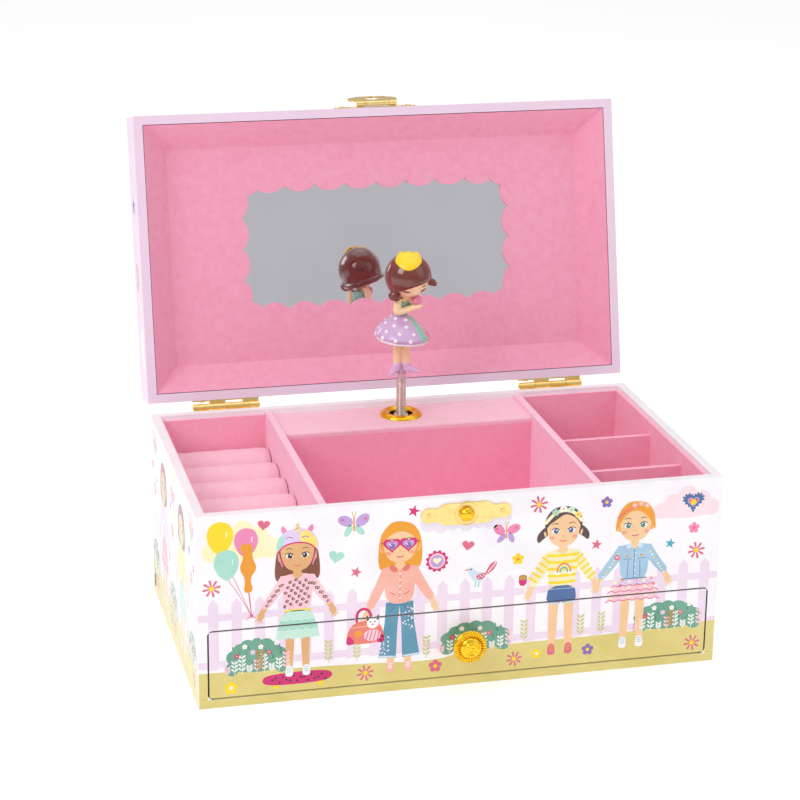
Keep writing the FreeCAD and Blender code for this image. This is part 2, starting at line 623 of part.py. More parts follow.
def make_hasp():
    """The hasp on the lid: a plate with two curled knuckles, a pin and the flap that drops over the stud."""
    face, leaf = -dim("case_d") / 2, dim("leaf")
    rim_z = dim("case_h") + 2 * dim("axis_up")
    axis_y, axis_z = face - dim("hasp_out"), rim_z + dim("hasp_up")
    radius, bore = dim("hasp_knuckle_dia") / 2, dim("hasp_pin_dia") / 2 + dim("pin_gap")
    centre_z = axis_z + 5.2
    plate = Part.Face(plate_outline(dim("latch_w"), 8, face, centre_z)).extrude(Vector(0, -leaf, 0))
    shapes = []
    for low, high in ((-11.5, -7.2), (7.2, 11.5)):
        shapes.append(cylinder(radius, high - low, (low, axis_y, axis_z), (1, 0, 0)))
        shapes.append(block((low, axis_y, axis_z + radius - leaf), (high, face, axis_z + radius)))
    plate = plate.multiFuse(shapes).cut(cylinder(bore, 30, (-15, axis_y, axis_z), (1, 0, 0)))
    nail_x = dim("latch_w") / 2 - dim("nail_inset")
    for x in (-nail_x, nail_x):
        plate = plate.cut(cylinder(NAIL_HOLE, 4, (x, face + 1, centre_z), (0, -1, 0)))
    solid("hasp_plate", plate.removeSplitter(), "lid")
    solid("hasp_pin", cylinder(dim("hasp_pin_dia") / 2, 23.4, (-11.7, axis_y, axis_z), (1, 0, 0)), "lid")
    places = [(x, face - leaf, centre_z, 1) for x in (-nail_x, nail_x)]
    solid("hasp_nails", pan_screws(places, **NAIL), "lid")

    half, reach, eye = dim("flap_w") / 2, dim("flap_reach"), dim("eye_at")
    middle = axis_y + leaf / 2

    def point(x, down):
        return Vector(x, middle, axis_z - down)

    right = [point(6.9, 0), point(6.9, 4.5), point(half - 4, 7)]
    wing = Part.Arc(point(half - 4, 7), point(half, eye - 1), point(half - 4.5, eye + 3.2)).toShape()
    end = [point(half - 4.5, eye + 3.2), point(half - 6.5, reach), point(-half + 6.5, reach),
           point(-half + 4.5, eye + 3.2)]
    other = Part.Arc(point(-half + 4.5, eye + 3.2), point(-half, eye - 1), point(-half + 4, 7)).toShape()
    close = [point(-half + 4, 7), point(-6.9, 4.5), point(-6.9, 0), point(6.9, 0)]
    edges = list(Part.makePolygon(right).Edges) + [wing] + list(Part.makePolygon(end).Edges)
    edges += [other] + list(Part.makePolygon(close).Edges)
    flap = Part.Face(Part.Wire(edges)).extrude(Vector(0, -leaf, 0))
    flap = flap.fuse(cylinder(radius, 13.8, (-6.9, axis_y, axis_z), (1, 0, 0)))
    flap = flap.cut(cylinder(bore, 30, (-15, axis_y, axis_z), (1, 0, 0)))
    flap = flap.cut(cylinder(dim("eye_dia") / 2, 6, (0, face, axis_z - eye), (0, -1, 0)))
    solid("hasp_flap", flap.removeSplitter(), "flap")


# ---------------------------------------------------------------- dancer


def turned(points, centre_y):
    """A turned solid about the dancer's axis, from (radius, z) pairs that start and end on it."""
    corners = [Vector(r, centre_y, z) for r, z in points]
    face = Part.Face(Part.makePolygon(corners + corners[:1]))
    return face.revolve(Vector(0, centre_y, 0), Vector(0, 0, 1), 360)


def ellipsoid(radii, at):
    """An ellipsoid with its three radii along X, Y and Z."""
    matrix = FreeCAD.Matrix()
    matrix.scale(*radii)
    matrix.move(Vector(*at))
    return Part.makeSphere(1).transformGeometry(matrix)


def make_dancer():
    """The dancer, one moulding from shoes to crown, and the clear peg that plugs into the spring."""
    y, foot, hem, waist = dim("dancer_y"), dim("dancer_foot"), dim("hem_z"), dim("waist_z")
    head_r, head_z = dim("head_dia") / 2, dim("head_z")
    legs = [cylinder(2.9, hem - foot + 4, (side * 2.6, y, foot + 1)) for side in (-1, 1)]
    shoes = [ellipsoid((3.1, 5.2, 2.3), (side * 3.4, y - 1.4, foot + 2)) for side in (-1, 1)]
    wide = dim("skirt_dia") / 2
    skirt = turned([(0, hem), (wide - 0.6, hem), (wide, hem + 1), (wide * 0.86, hem + 7),
                    (wide * 0.6, waist - 4), (4.4, waist), (0, waist)], y)
    torso = turned([(0, waist - 1), (4.3, waist - 1), (5.2, waist + 5), (4.4, waist + 9), (0, waist + 10)], y)
    arms = [ellipsoid((2.1, 4.2, 2.2), (side * 5, y - 2, waist + 5)) for side in (-1, 1)]
    head = ellipsoid((head_r, head_r - 1, head_r), (0, y, head_z))
    crown = cylinder(4.4, 4.2, (0, y, head_z + head_r - 1.6))
    figure = torso.multiFuse(legs + shoes + arms + [skirt, head, crown])
    solid("dancer_figure", figure.cut(cylinder(1.6, 6, (0, y, foot - 1))).removeSplitter())
    top = dim("spring_top")
    plug = cylinder(dim("spring_dia") / 2, foot - 0.4 - top, (0, y, top))
    solid("dancer_peg", plug.fuse(cylinder(1.55, foot + 4 - top, (0, y, top))).removeSplitter())


def make_spring():
    """The close-wound spring as a sleeve, seated in the cup that the movement turns."""
    y, top, radius, wire = dim("dancer_y"), dim("spring_top"), dim("spring_dia") / 2, 0.7
    low = dim("deck_top") - 1.8
    sleeve = cylinder(radius, top - low, (0, y, low))
    solid("dancer_spring", sleeve.cut(cylinder(radius - wire, top - low + 2, (0, y, low - 1))))
    cup_low = dim("deck_top") - 6
    cup = cylinder(3.9, 6.2, (0, y, cup_low)).cut(cylinder(dim("arbor_dia") / 2, 8, (0, y, cup_low - 1)))
    solid("spring_cup", cup.cut(cylinder(radius + 0.1, 3, (0, y, low))))


def make_grommet():
    """The metal grommet in the deck, a raised ring with a neck that lines the hole."""
    y, deck = dim("dancer_y"), dim("deck_top")
    outer, hole = dim("grommet_dia") / 2, dim("grommet_hole") / 2

    def point(out, up):
        return Vector(out, y, deck + up)

    neck = [point(hole, 0.8), point(hole, -3), point(hole + 0.8, -3), point(hole + 0.8, 0), point(outer, 0),
            point(outer, 0.5)]
    crest = Part.Arc(neck[-1], point((outer + hole) / 2, 2.2), neck[0]).toShape()
    wire = Part.Wire(list(Part.makePolygon(neck).Edges) + [crest])
    solid("grommet", Part.Face(wire).revolve(point(0, 0), Vector(0, 0, 1), 360))


# ---------------------------------------------------------------- movement


RUNNING_FIT = 0.05
SPINDLE = 0.8


def gear(teeth, module, thickness, at, phase=0.0):
    """A spur gear with straight-flanked teeth and backlash, along Z. phase turns it by a share of a tooth."""
    pitch = teeth * module / 2
    outer, root = pitch + 0.8 * module, pitch - 1.1 * module
    x, y, z = at
    points = []
    for tooth in range(teeth):
        centre = (tooth + phase) * 2 * math.pi / teeth
        for radius, share in ((root, -0.62), (outer, -0.2), (outer, 0.2), (root, 0.62)):
            angle = centre + share * math.pi / teeth
            points.append((x + radius * math.cos(angle), y + radius * math.sin(angle), z))
    return prism(points, (0, 0, thickness))


def inner_rear():
    """Where the rear board's inner face is."""
    return dim("case_d") / 2 - dim("board")


def governor_x():
    """How far the governor's wheel is from the drum, by the gears' pitch radii."""
    return (dim("drum_wheel_teeth") + dim("governor_pinion_teeth")) * dim("wheel_module") / 2


def fly_x():
    """How far the fly's spindle is from the drum."""
    return governor_x() + (dim("governor_wheel_teeth") + dim("fly_pinion_teeth")) * dim("wheel_module") / 2


def make_movement_frame():
    """The cast bedplate with its bearing arms and the comb's block, its four screws and the comb's two."""
    y, rear, arbor = dim("dancer_y"), inner_rear(), dim("arbor_dia") / 2
    drum_r, low, high = dim("drum_dia") / 2, dim("drum_low"), dim("drum_high")
    half, bed_low, bed_high, thick = dim("bed_half_w"), dim("bed_low"), dim("bed_high"), dim("bed_thick")
    face = rear - thick
    plate = block((-half, face, bed_low), (half, rear, bed_high))
    plate = plate.cut(cylinder(arbor + RUNNING_FIT, 4, (0, face - 1, dim("key_z")), (0, 1, 0)))
    upper = block((2 - half, y - 6, bed_high - 2), (half - 2, face, bed_high - 0.8))
    for x, radius in ((0, arbor), (governor_x(), SPINDLE), (fly_x(), SPINDLE)):
        upper = upper.cut(cylinder(radius + RUNNING_FIT, 10, (x, y, bed_high - 7)))
    lower = block((-12, y - 6, bed_low), (12, face, bed_low + thick))
    lower = lower.cut(cylinder(arbor + RUNNING_FIT, 10, (0, y, bed_low - 5)))
    comb_block = block((-drum_r - 23, y + 0.5, low), (-drum_r - 14.5, face, high))
    solid("movement_bedplate", plate.multiFuse([upper, lower, comb_block]).removeSplitter())
    places = [(x, face, z, 1) for x in (5 - half, half - 5) for z in (bed_low + 6, bed_high - 5)]
    comb_x = -drum_r - 17.9
    comb_places = [(comb_x, y - 0.5, z, 1) for z in (low + 5, high - 5)]
    screws = [pan_screws(places, 1.4, 2.6, 1.4, 5), pan_screws(comb_places, 1.1, 2.1, 1.2, 5)]
    solid("movement_screws", Part.makeCompound([screw for group in screws for screw in group.Solids]))


def make_barrel():
    """The mainspring's barrel, with crown teeth on its front rim that drive the drum."""
    y, z = dim("dancer_y"), dim("key_z")
    module, teeth = dim("crown_module"), int(dim("crown_teeth"))
    pitch = module * teeth / 2
    front = y + dim("drum_pinion_teeth") * module / 2 + 0.9 * module + 0.3
    rear = inner_rear() - 2.4
    outer = pitch + 0.5
    barrel = cylinder(outer - 0.8, rear - front, (0, front, z), (0, 1, 0))
    rim = cylinder(outer, 1, (0, front, z), (0, 1, 0))
    crown = []
    for number in range(teeth):
        half, low, high = 0.26 * module, z - pitch - 0.5, z - pitch + 0.5
        tooth = block((-half, front - 1.1 * module, low), (half, front, high))
        tooth.rotate(Vector(0, 0, z), Vector(0, 1, 0), number * 360 / teeth)
        crown.append(tooth)
    made = barrel.multiFuse([rim] + crown).removeSplitter()
    bore = cylinder(dim("arbor_dia") / 2 + RUNNING_FIT, 30, (0, y, z), (0, 1, 0))
    solid("mainspring_barrel", made.cut(bore))


def make_key():
    """The winding arbor through barrel, bedplate and rear board, and the butterfly key on its end."""
    y, z, arbor, outside = dim("dancer_y"), dim("key_z"), dim("arbor_dia") / 2, dim("case_d") / 2
    start = y + 10
    solid("winding_arbor", cylinder(arbor, outside + 4 - start, (0, start, z), (0, 1, 0)))
    wing = dim("key_w") / 2
    centre_y = outside + 11
    stem = cylinder(3.2, 6, (0, outside + 1, z), (0, 1, 0))
    blades = [ellipsoid((wing * 0.52, 6.4, 1.1), (side * wing * 0.5, centre_y, z)) for side in (-1, 1)]
    holes = [cylinder(2.2, 6, (side * wing * 0.55, centre_y, z - 3)) for side in (-1, 1)]
    holes.append(cylinder(arbor, 5, (0, outside, z), (0, 1, 0)))
    key = stem.multiFuse(blades).cut(Part.makeCompound(holes))
    solid("winding_key", key.removeSplitter())


def make_drum():
    """The pinned drum on its upright shaft, with its crown pinion below and its driving wheel above."""
    y, low, high, radius = dim("dancer_y"), dim("drum_low"), dim("drum_high"), dim("drum_dia") / 2
    rows, pin_count, golden_turn = 18, 40, 137.5
    pins = []
    for number in range(pin_count):
        angle = math.radians(number * golden_turn)
        z = low + 2 + (number % rows) * (high - low - 4) / (rows - 1)
        way = (math.cos(angle), math.sin(angle), 0)
        pins.append(cylinder(0.3, 1, (way[0] * (radius - 0.5), y + way[1] * (radius - 0.5), z), way))
    shaft_low, shaft_high = 49.2, 101
    shaft = cylinder(dim("arbor_dia") / 2, shaft_high - shaft_low, (0, y, shaft_low))
    teeth, module = int(dim("drum_pinion_teeth")), dim("crown_module")
    contact_z = dim("key_z") - dim("crown_teeth") * module / 2
    gap_to_rear = (0.5 + teeth / 4) % 1
    pinion = gear(teeth, module, 1.6, (0, y, contact_z - 0.8), gap_to_rear)
    wheel = gear(int(dim("drum_wheel_teeth")), dim("wheel_module"), 2, (0, y, high + 1.5))
    drum = cylinder(radius, high - low, (0, y, low))
    solid("pin_drum", drum.multiFuse(pins + [shaft, pinion, wheel]).removeSplitter())


def make_comb():
    """The tuned steel comb."""
    y, low, high = dim("dancer_y"), dim("drum_low"), dim("drum_high")
    teeth, half = 18, 0.5
    step = (high - low - 4) / (teeth - 1)
    tip_x = -dim("drum_dia") / 2 - 0.9
    root_x, back_x = tip_x - 12, tip_x - 21
    body = block((back_x, y - half, low + 1), (root_x, y + half, high - 1))
    blades = []
    for number in range(teeth):
        z = low + 2 + number * step
        blades.append(block((root_x - 1, y - half, z - 0.45), (tip_x, y + half, z + 0.45)))
    solid("comb", body.multiFuse(blades).removeSplitter())


def make_governor():
    """The governor: a wheel and pinion on one spindle, the fly on the next, and the arm under them both."""
    y, high, module = dim("dancer_y"), dim("drum_high"), dim("wheel_module")
    arm_low, arm_high = high - 2, high - 0.8
    spindle_long, wheel_z = dim("bed_high") - arm_low, high + 6
    pinion = gear(int(dim("governor_pinion_teeth")), module, 3, (governor_x(), y, high + 1), 0.5)
    wheel = gear(int(dim("governor_wheel_teeth")), module, 1.2, (governor_x(), y, wheel_z))
    spindle = cylinder(SPINDLE, spindle_long, (governor_x(), y, arm_low))
    solid("governor_wheel", pinion.multiFuse([wheel, spindle]).removeSplitter())

    driven = gear(int(dim("fly_pinion_teeth")), module, 1.6, (fly_x(), y, wheel_z - 0.2))
    vane = block((fly_x() - 4.4, y - 0.3, high + 0.4), (fly_x() + 4.4, y + 0.3, high + 4.8))
    spindle = cylinder(SPINDLE, spindle_long, (fly_x(), y, arm_low))
    solid("governor_fly", driven.multiFuse([vane, spindle]).removeSplitter())

    arm = block((governor_x() - 3, y - 3, arm_low), (fly_x() + 3, inner_rear() - dim("bed_thick"), arm_high))
    bores = [cylinder(SPINDLE + RUNNING_FIT, 4, (x, y, arm_low - 1)) for x in (governor_x(), fly_x())]
    solid("governor_bracket", arm.cut(Part.makeCompound(bores)))


def check_and_write():
    """Stops at anything that failed to build, then writes one STEP file per sub-part."""
    doc.recompute()
    for thing in doc.Objects:
        if {"Invalid", "Error"} & set(thing.State):
            raise RuntimeError(f"{thing.Label}: {thing.State}")
    os.makedirs("parts", exist_ok=True)
    for part in PARTS:
        shape = part.Shape
        if shape.isNull() or not shape.isValid() or shape.Volume <= 0:
            raise RuntimeError(f"{part.Label} has no valid solid")
        shape.exportStep(os.path.join("parts", part.Label + ".step"))
    print(len(PARTS), "sub-parts")


def main():
    make_front_board()
    make_rear_board()
    make_case_boards()
    make_tray_linings()
    make_dividers()
    make_deck()
    make_ring_rolls()
    make_drawer()
    make_knob()
    make_lid_boards()
    make_lid_slopes()
    make_lid_window()
    make_hinges()
    make_latch()
    make_hasp()
    make_dancer()
    make_spring()
    make_grommet()
    make_movement_frame()
    make_barrel()
    make_key()
    make_drum()
    make_comb()
    make_governor()
    check_and_write()


main()
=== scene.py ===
import json
import math
import random

import bmesh
import bpy
from mathutils import Matrix, Vector
from mathutils.geometry import delaunay_2d_cdt


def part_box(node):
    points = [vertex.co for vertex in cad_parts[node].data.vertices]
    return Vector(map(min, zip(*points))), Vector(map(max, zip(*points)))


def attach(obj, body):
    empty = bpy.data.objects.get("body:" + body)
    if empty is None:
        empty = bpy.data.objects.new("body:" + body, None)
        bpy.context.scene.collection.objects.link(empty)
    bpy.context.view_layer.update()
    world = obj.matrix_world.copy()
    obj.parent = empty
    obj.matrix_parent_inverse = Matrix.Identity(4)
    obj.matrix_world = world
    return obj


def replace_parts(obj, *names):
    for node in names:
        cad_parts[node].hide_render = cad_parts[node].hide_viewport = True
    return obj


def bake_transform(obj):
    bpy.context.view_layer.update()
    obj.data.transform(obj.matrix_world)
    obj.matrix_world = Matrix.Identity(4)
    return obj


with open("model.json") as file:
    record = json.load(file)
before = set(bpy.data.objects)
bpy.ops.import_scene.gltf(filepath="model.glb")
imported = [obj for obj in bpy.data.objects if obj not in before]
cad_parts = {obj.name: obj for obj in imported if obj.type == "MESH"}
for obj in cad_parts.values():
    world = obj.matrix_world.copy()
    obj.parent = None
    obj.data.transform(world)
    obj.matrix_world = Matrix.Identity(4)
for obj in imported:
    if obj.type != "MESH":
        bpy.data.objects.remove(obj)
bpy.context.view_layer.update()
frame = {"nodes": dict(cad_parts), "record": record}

MM = 0.001
GOLDEN = 0.618  # spreads points evenly without rows
BOTH = (-1, 1)


# ---------------------------------------------------------------- materials


def linear(code):
    """The linear colour, with alpha, of an sRGB hex code."""
    channels = [int(code[i:i + 2], 16) / 255 for i in (0, 2, 4)]
    return tuple(c / 12.92 if c <= 0.04045 else ((c + 0.055) / 1.055) ** 2.4 for c in channels) + (1.0,)


def put(node, **sockets):
    """Sets a node's input sockets."""
    for socket, value in sockets.items():
        node.inputs[socket.replace("_", " ")].default_value = value


class Finish:
    """A material under construction, with short ways to add noise, colour variation and bump."""

    def __init__(self, name, code, rough=0.5, metal=0.0, **sockets):
        self.material = bpy.data.materials.new(name)
        self.material.use_nodes = True
        self.nodes = self.material.node_tree.nodes
        self.link = self.material.node_tree.links.new
        self.shader = self.nodes["Principled BSDF"]
        self.place = self.nodes.new("ShaderNodeTexCoord").outputs["Object"]
        self.code = code
        self.material.diffuse_color = linear(code)
        put(self.shader, Base_Color=linear(code), Roughness=rough, Metallic=metal, **sockets)

    def node(self, kind, **sockets):
        made = self.nodes.new("ShaderNode" + kind)
        put(made, **sockets)
        return made

    def noise(self, scale, detail=2.0, stretch=None):
        """A noise texture's factor, at a scale in features per metre."""
        made, place = self.node("TexNoise", Scale=scale, Detail=detail), self.place
        if stretch:
            mapping = self.node("Mapping", Scale=stretch)
            self.link(place, mapping.inputs["Vector"])
            place = mapping.outputs["Vector"]
        self.link(place, made.inputs["Vector"])
        return made.outputs["Fac"]

    def blotches(self, factor, other, low=0.35, high=0.65):
        """Varies the base colour towards another one where a factor is high."""
        ramp = self.node("ValToRGB")
        for stop, spot, code in zip(ramp.color_ramp.elements, (low, high), (self.code, other)):
            stop.position, stop.color = spot, linear(code)
        self.link(factor, ramp.inputs["Fac"])
        self.link(ramp.outputs["Color"], self.shader.inputs["Base Color"])

    def bump(self, factor, strength, depth_mm):
        """Adds relief where a factor is high. Later bumps add to earlier ones."""
        normal = self.shader.inputs["Normal"]
        made = self.node("Bump", Strength=strength, Distance=depth_mm * MM)
        self.link(factor, made.inputs["Height"])
        if normal.is_linked:
            self.link(normal.links[0].from_socket, made.inputs["Normal"])
        self.link(made.outputs["Normal"], normal)

    def worn(self, factor, low, high):
        """Lets the roughness run from low to high with a factor."""
        ramp = self.node("MapRange", To_Min=low, To_Max=high)
        self.link(factor, ramp.inputs["Value"])
        self.link(ramp.outputs["Result"], self.shader.inputs["Roughness"])


def paper(name, code, other, rough=0.34):
    """Varnished paper over board: faint fibres, a faint waviness and a thin coat."""
    made = Finish(name, code, rough, Coat_Weight=0.12, Coat_Roughness=0.18)
    made.blotches(made.noise(55, 3), other)
    made.worn(made.noise(140, 2), rough - 0.06, rough + 0.1)
    made.bump(made.noise(1500, 3, (1, 1, 0.4)), 0.10, 0.05)
    made.bump(made.noise(35, 1), 0.05, 0.6)
    return made.material


def flock(name, code, other, light):
    """Short dense pile: a fine grain, soft patches where the pile leans, and a sheen."""
    made = Finish(name, code, 0.95, Sheen_Weight=0.35, Sheen_Roughness=0.5, Sheen_Tint=linear(light))
    made.blotches(made.noise(230, 8), other, 0.3, 0.75)
    for scale, detail, strength, depth in ((1500, 5, 0.45, 0.25), (620, 4, 0.3, 0.35), (260, 3, 0.25, 0.4)):
        made.bump(made.noise(scale, detail), strength, depth)
    return made.material


def gold(name, code, other, rough):
    """Bright plated metal with a little haze, fine polishing marks and a soft waviness."""
    made = Finish(name, code, rough, 1.0)
    made.blotches(made.noise(260, 3), other)
    made.worn(made.noise(700, 3), rough - 0.07, rough + 0.14)
    made.bump(made.noise(900, 2, (0.25, 1, 1)), 0.12, 0.04)
    made.bump(made.noise(160, 1), 0.10, 0.12)
    return made.material


def metal(name, code, other, rough, stretch=(1, 1, 1)):
    """Plain metal with drawn or cast grain."""
    made = Finish(name, code, rough, 1.0)
    made.blotches(made.noise(300, 3), other)
    made.worn(made.noise(800, 2, stretch), rough - 0.08, rough + 0.12)
    made.bump(made.noise(1600, 2, stretch), 0.15, 0.03)
    return made.material


def board(name, code, other):
    """Uncoated grey board: specks and fibres."""
    made = Finish(name, code, 0.85)
    made.blotches(made.noise(900, 5), other, 0.42, 0.7)
    made.bump(made.noise(1300, 4), 0.3, 0.08)
    return made.material


def plastic(name, code, other, rough, **sockets):
    """Painted or moulded plastic: faint pooling of the colour and a faint orange peel."""
    made = Finish(name, code, rough, **sockets)
    made.blotches(made.noise(240, 2), other, 0.3, 0.75)
    made.worn(made.noise(420, 2), max(0.05, rough - 0.07), rough + 0.08)
    made.bump(made.noise(520, 1), 0.06, 0.08)
    return made.material


def mirror_material():
    """Silvered glass: a bright, very slightly hazy reflection."""
    made = Finish("mirror_silvered", "F7F4F9", 0.03, 1.0)
    made.blotches(made.noise(30, 2), "F1F0F4")
    made.worn(made.noise(60, 3), 0.015, 0.05)
    return made.material


def clear_plastic():
    """The clear peg: milky, see-through plastic."""
    made = Finish("plastic_clear", "F6EFF0", 0.16, Transmission_Weight=0.75, IOR=1.46)
    made.blotches(made.noise(300, 2), "EDE2E4")
    made.bump(made.noise(500, 2), 0.08, 0.05)
    return made.material


# Partly painted shade: the grass print's paper turned in at the opening's sill, darker than the grass ink to
# stand for the shade in the gap under the drawer.
PAPER_OLIVE_SHADED = paper("paper_olive_shaded", "B5A350", "A89546", 0.5)
FLOCK = flock("flock_pink", "F19FBA", "F4ABC4", "FFE4EC")
FLOCK_PALE = flock("flock_pale", "F8C1D1", "F9CBD8", "FFEEF3")
GOLD = gold("gold_bright", "F8D038", "F0BE2A", 0.17)
GOLD_PALE = gold("gold_pale", "F7DE96", "F3D483", 0.3)
STEEL = metal("steel_drawn", "B9B4B0", "9F9A97", 0.3, (1, 1, 0.2))
SPRING_STEEL = metal("steel_spring", "F0E2DA", "DCCBC2", 0.34)
# Painted shade: a near-black board colour for the liner in the gap round the drawer, where the opening only
# has shade.
PAINTED_SHADE_LINER = board("painted_shade_liner", "3A1F26", "2C171D")

DRESSES = (
    (paper("paper_white", "FBF8FA", "F6F1F6"),
     "front_board left_side_board right_side_board rear_board bottom_board drawer_front"),
    (paper("paper_lilac", "EED5E8", "ECD2E6"),
     "lid_front_board lid_rear_board lid_left_board lid_right_board lid_top_board"),
    (FLOCK, "lid_slope_cards lid_window_card"),
    # Painted light: a lighter copy of the pink flock for the tray's front lining, deck front and floor,
    # brightened against the shade inside the tray.
    (flock("flock_tray_lightened", "FAA8C3", "FCB4CC", "FFE4EC"), "lining_front deck_front_card tray_floor_card"),
    (FLOCK_PALE, "deck_top_card lining_left"),
    # Painted light: a still lighter copy of the pink flock for the rear and right linings and the cross
    # dividers, brightened against the shade in the right bay.
    (flock("flock_bay_lightened", "FFADC7", "FFBAD0", "FFE9F0"), "lining_right lining_rear cross_dividers"),
    (flock("flock_rose", "FBC3D9", "FDCFE1", "FFECF4"), "divider_left divider_right"),
    (board("grey_board", "C9C1B4", "B5AB9C"),
     "tray_shelf drawer_sides drawer_back drawer_floor mirror_backing_card"),
    (GOLD, "latch_stud hasp_pin drawer_knob grommet winding_key pin_drum"),
    (gold("gold_hinge", "FFE094", "F8D27C", 0.2),
     "hinge_case_leaves hinge_lid_leaves hinge_pins hinge_case_screws hinge_lid_screws"),
    (GOLD_PALE, "latch_plate latch_nails hasp_plate hasp_flap hasp_nails"),
    (STEEL, "drawer_knob_screw winding_arbor movement_screws dancer_spring comb governor_bracket"),
    (metal("zinc_cast", "A9ABAE", "95979B", 0.5), "movement_bedplate mainspring_barrel"),
    (plastic("plastic_white", "F1F0EC", "E8E6E0", 0.4),
     "spring_cup governor_wheel governor_fly dancer_figure"),
    (mirror_material(), "mirror_glass"),
    (clear_plastic(), "dancer_peg"),
)


def dress_nodes():
    """Gives every carried-over node its finished material."""
    for material, names in DRESSES:
        for name in names.split():
            for slot in frame["nodes"][name].material_slots:
                slot.material = material


# ---------------------------------------------------------------- outlines

LAYER = 0.012


def turns(count, start=0.0):
    """Evenly spaced angles round a circle."""
    return [start + 2 * math.pi * i / count for i in range(count)]


def spin(ring, x, y, turn):
    """An outline turned by degrees and moved to a place."""
    cos, sin = math.cos(math.radians(turn)), math.sin(math.radians(turn))
    return [(x + u * cos - v * sin, y + u * sin + v * cos) for u, v in ring]


def rayed(reaches):
    """An outline whose points lie at these reaches, evenly round its middle."""
    return [(r * math.cos(a), r * math.sin(a)) for r, a in zip(reaches, turns(len(reaches)))]


def disc(x, y, wide, tall=None, turn=0.0, count=28):
    """An ellipse's outline."""
    tall = tall or wide
    return spin([(wide * math.cos(a), tall * math.sin(a)) for a in turns(count)], x, y, turn)


def twin(half):
    """A closed outline that is the same on both sides, from its right half."""
    return half + [(-u, v) for u, v in half[::-1] if u]


def soft(points, rounds=3, closed=True):
    """A closed outline, or an open line, with its corners rounded off."""
    for _ in range(rounds):
        fresh = []
        for (x0, y0), (x1, y1) in zip(points, points[1:] + (points[:1] if closed else [])):
            fresh += [(0.75 * x0 + 0.25 * x1, 0.75 * y0 + 0.25 * y1),
                      (0.25 * x0 + 0.75 * x1, 0.25 * y0 + 0.75 * y1)]
        points = fresh if closed else [points[0]] + fresh + [points[-1]]
    return points


def stroke(points, wide, end=None, rounds=3):
    """The outline of a brush stroke along a line, from one width to another."""
    end = end or wide
    line = [Vector(p) for p in soft(points, rounds, False)]
    sides = [[], []]
    for i, here in enumerate(line):
        ahead = (line[min(i + 1, len(line) - 1)] - line[max(i - 1, 0)]).normalized()
        across = Vector((-ahead.y, ahead.x)) * (wide + (end - wide) * i / (len(line) - 1)) / 2
        sides[0].append(tuple(here + across))
        sides[1].append(tuple(here - across))
    tip = line[-1] + (line[-1] - line[-2]).normalized() * end * 0.4
    tail = line[0] - (line[1] - line[0]).normalized() * wide * 0.4
    return sides[0] + [tuple(tip)] + sides[1][::-1] + [tuple(tail)]


def petals(x, y, size, count, inner, turn=0.0):
    """A flower's outline."""
    waves = [abs(math.cos(math.pi * i / 10)) ** 0.7 for i in range(10 * count)]
    return spin(rayed([size * (inner + (1 - inner) * wave) for wave in waves]), x, y, math.degrees(turn))


def star(x, y, size, turn, inner=0.42):
    """A star's outline."""
    return spin(rayed([size, size * inner] * 5), x, y, turn)


def heart_ring(size, count=36):
    """A heart's outline round its middle, size across."""
    return [(size / 2 * math.sin(a) ** 3, size / 34 * (13 * math.cos(a) - 5 * math.cos(2 * a)
                                                      - 2 * math.cos(3 * a) - math.cos(4 * a) + 2.5))
            for a in turns(count)]


def heart(x, y, size, turn=0.0):
    return spin(heart_ring(size), x, y, turn)


def crimp(wide, low, folds, up, down):
    """A crimped edge from right to left."""
    return [(wide * (1 - 2 * k / folds), low + (up if k % 2 else down)) for k in range(folds + 1)]


# ---------------------------------------------------------------- printing

INKS = dict(
    mist="EFE6F2 E9DFEE", fence="F1DEEE ECD6E9", grass="E2D183 D9C873", turf="C4AC4C BBA245",
    bush="6FA890 609B83", leaf="4F8A76 467D6A", sprig="F5F3EE E9EFE8", fern="C08A3C B37E33",
    sage="D3CF90 C8C47E", cream="FFF3C8 FDEEB8", haze="FBE3E8 F8DBE2", yellow="FCDD08 F8D400",
    amber="F2A020 E8951A", pink="F08DB8 EC80AE", rose="E06A86 DA5F7D", magenta="D81B76 CE146C",
    blush="FBD0DA F8C4D1", mint="AEE0D0 A1D8C6", frost="CFEEE2 C2E7D9", lilac="C6A6DE BB99D6",
    lavender="E3D0EE DCC6EA", violet="8F6FB8 8463AE", teal="46B0C4 3AA4B9", denim="5E9DB6 528FA9",
    navy="4C6FA4 436499", sky="A9CBE2 9CC0DA", pale="D8E6F2 CBDDEC", skin="F7CFA0 F3C593",
    tan="E8B67E E0AB71", cheek="F3A98A EF9D7C", brown="8A4B33 7E422C", dark="5B4440 523C38",
    ginger="F3A21F EB9717", peach="F8B9A8 F4AE9B", coral="EC7E6C E37260", white="FDFBFC F6F4F6",
    ink="3E2C30 35262A", lemon="FBE57E F8DE6B", straw="F6EFC0 F0E7B0")
INK_MATERIALS = {}


def ink_material(ink, pale):
    """Printed ink under the varnish, mixed with white by a share."""
    if (ink, pale) not in INK_MATERIALS:
        codes = ["".join(f"{round(int(code[i:i + 2], 16) * (1 - pale) + 252 * pale):02X}" for i in (0, 2, 4))
                 for code in INKS[ink].split()]
        INK_MATERIALS[ink, pale] = paper("ink_" + ink + ("_pale" if pale else ""), *codes, 0.36)
    return INK_MATERIALS[ink, pale]


def mesh_object(name, verts, faces, material, smooth=False):
    """A new object from plain lists."""
    mesh = bpy.data.meshes.new(name)
    mesh.from_pydata(verts, [], faces)
    mesh.materials.append(material)
    if smooth:
        mesh.polygons.foreach_set("use_smooth", [True] * len(mesh.polygons))
    made = bpy.data.objects.new(name, mesh)
    bpy.context.collection.objects.link(made)
    return made


def area(outline):
    """An outline's area, positive where it runs anticlockwise."""
    return sum(x0 * y1 - x1 * y0 for (x0, y0), (x1, y1) in zip(outline, outline[1:] + outline[:1])) / 2


def inside(face, box):
    """Whether a face's middle is in a rectangle."""
    middle = face.calc_center_median()
    x0, y0, x1, y1 = box
    return x0 < middle.x < x1 and y0 < middle.y < y1


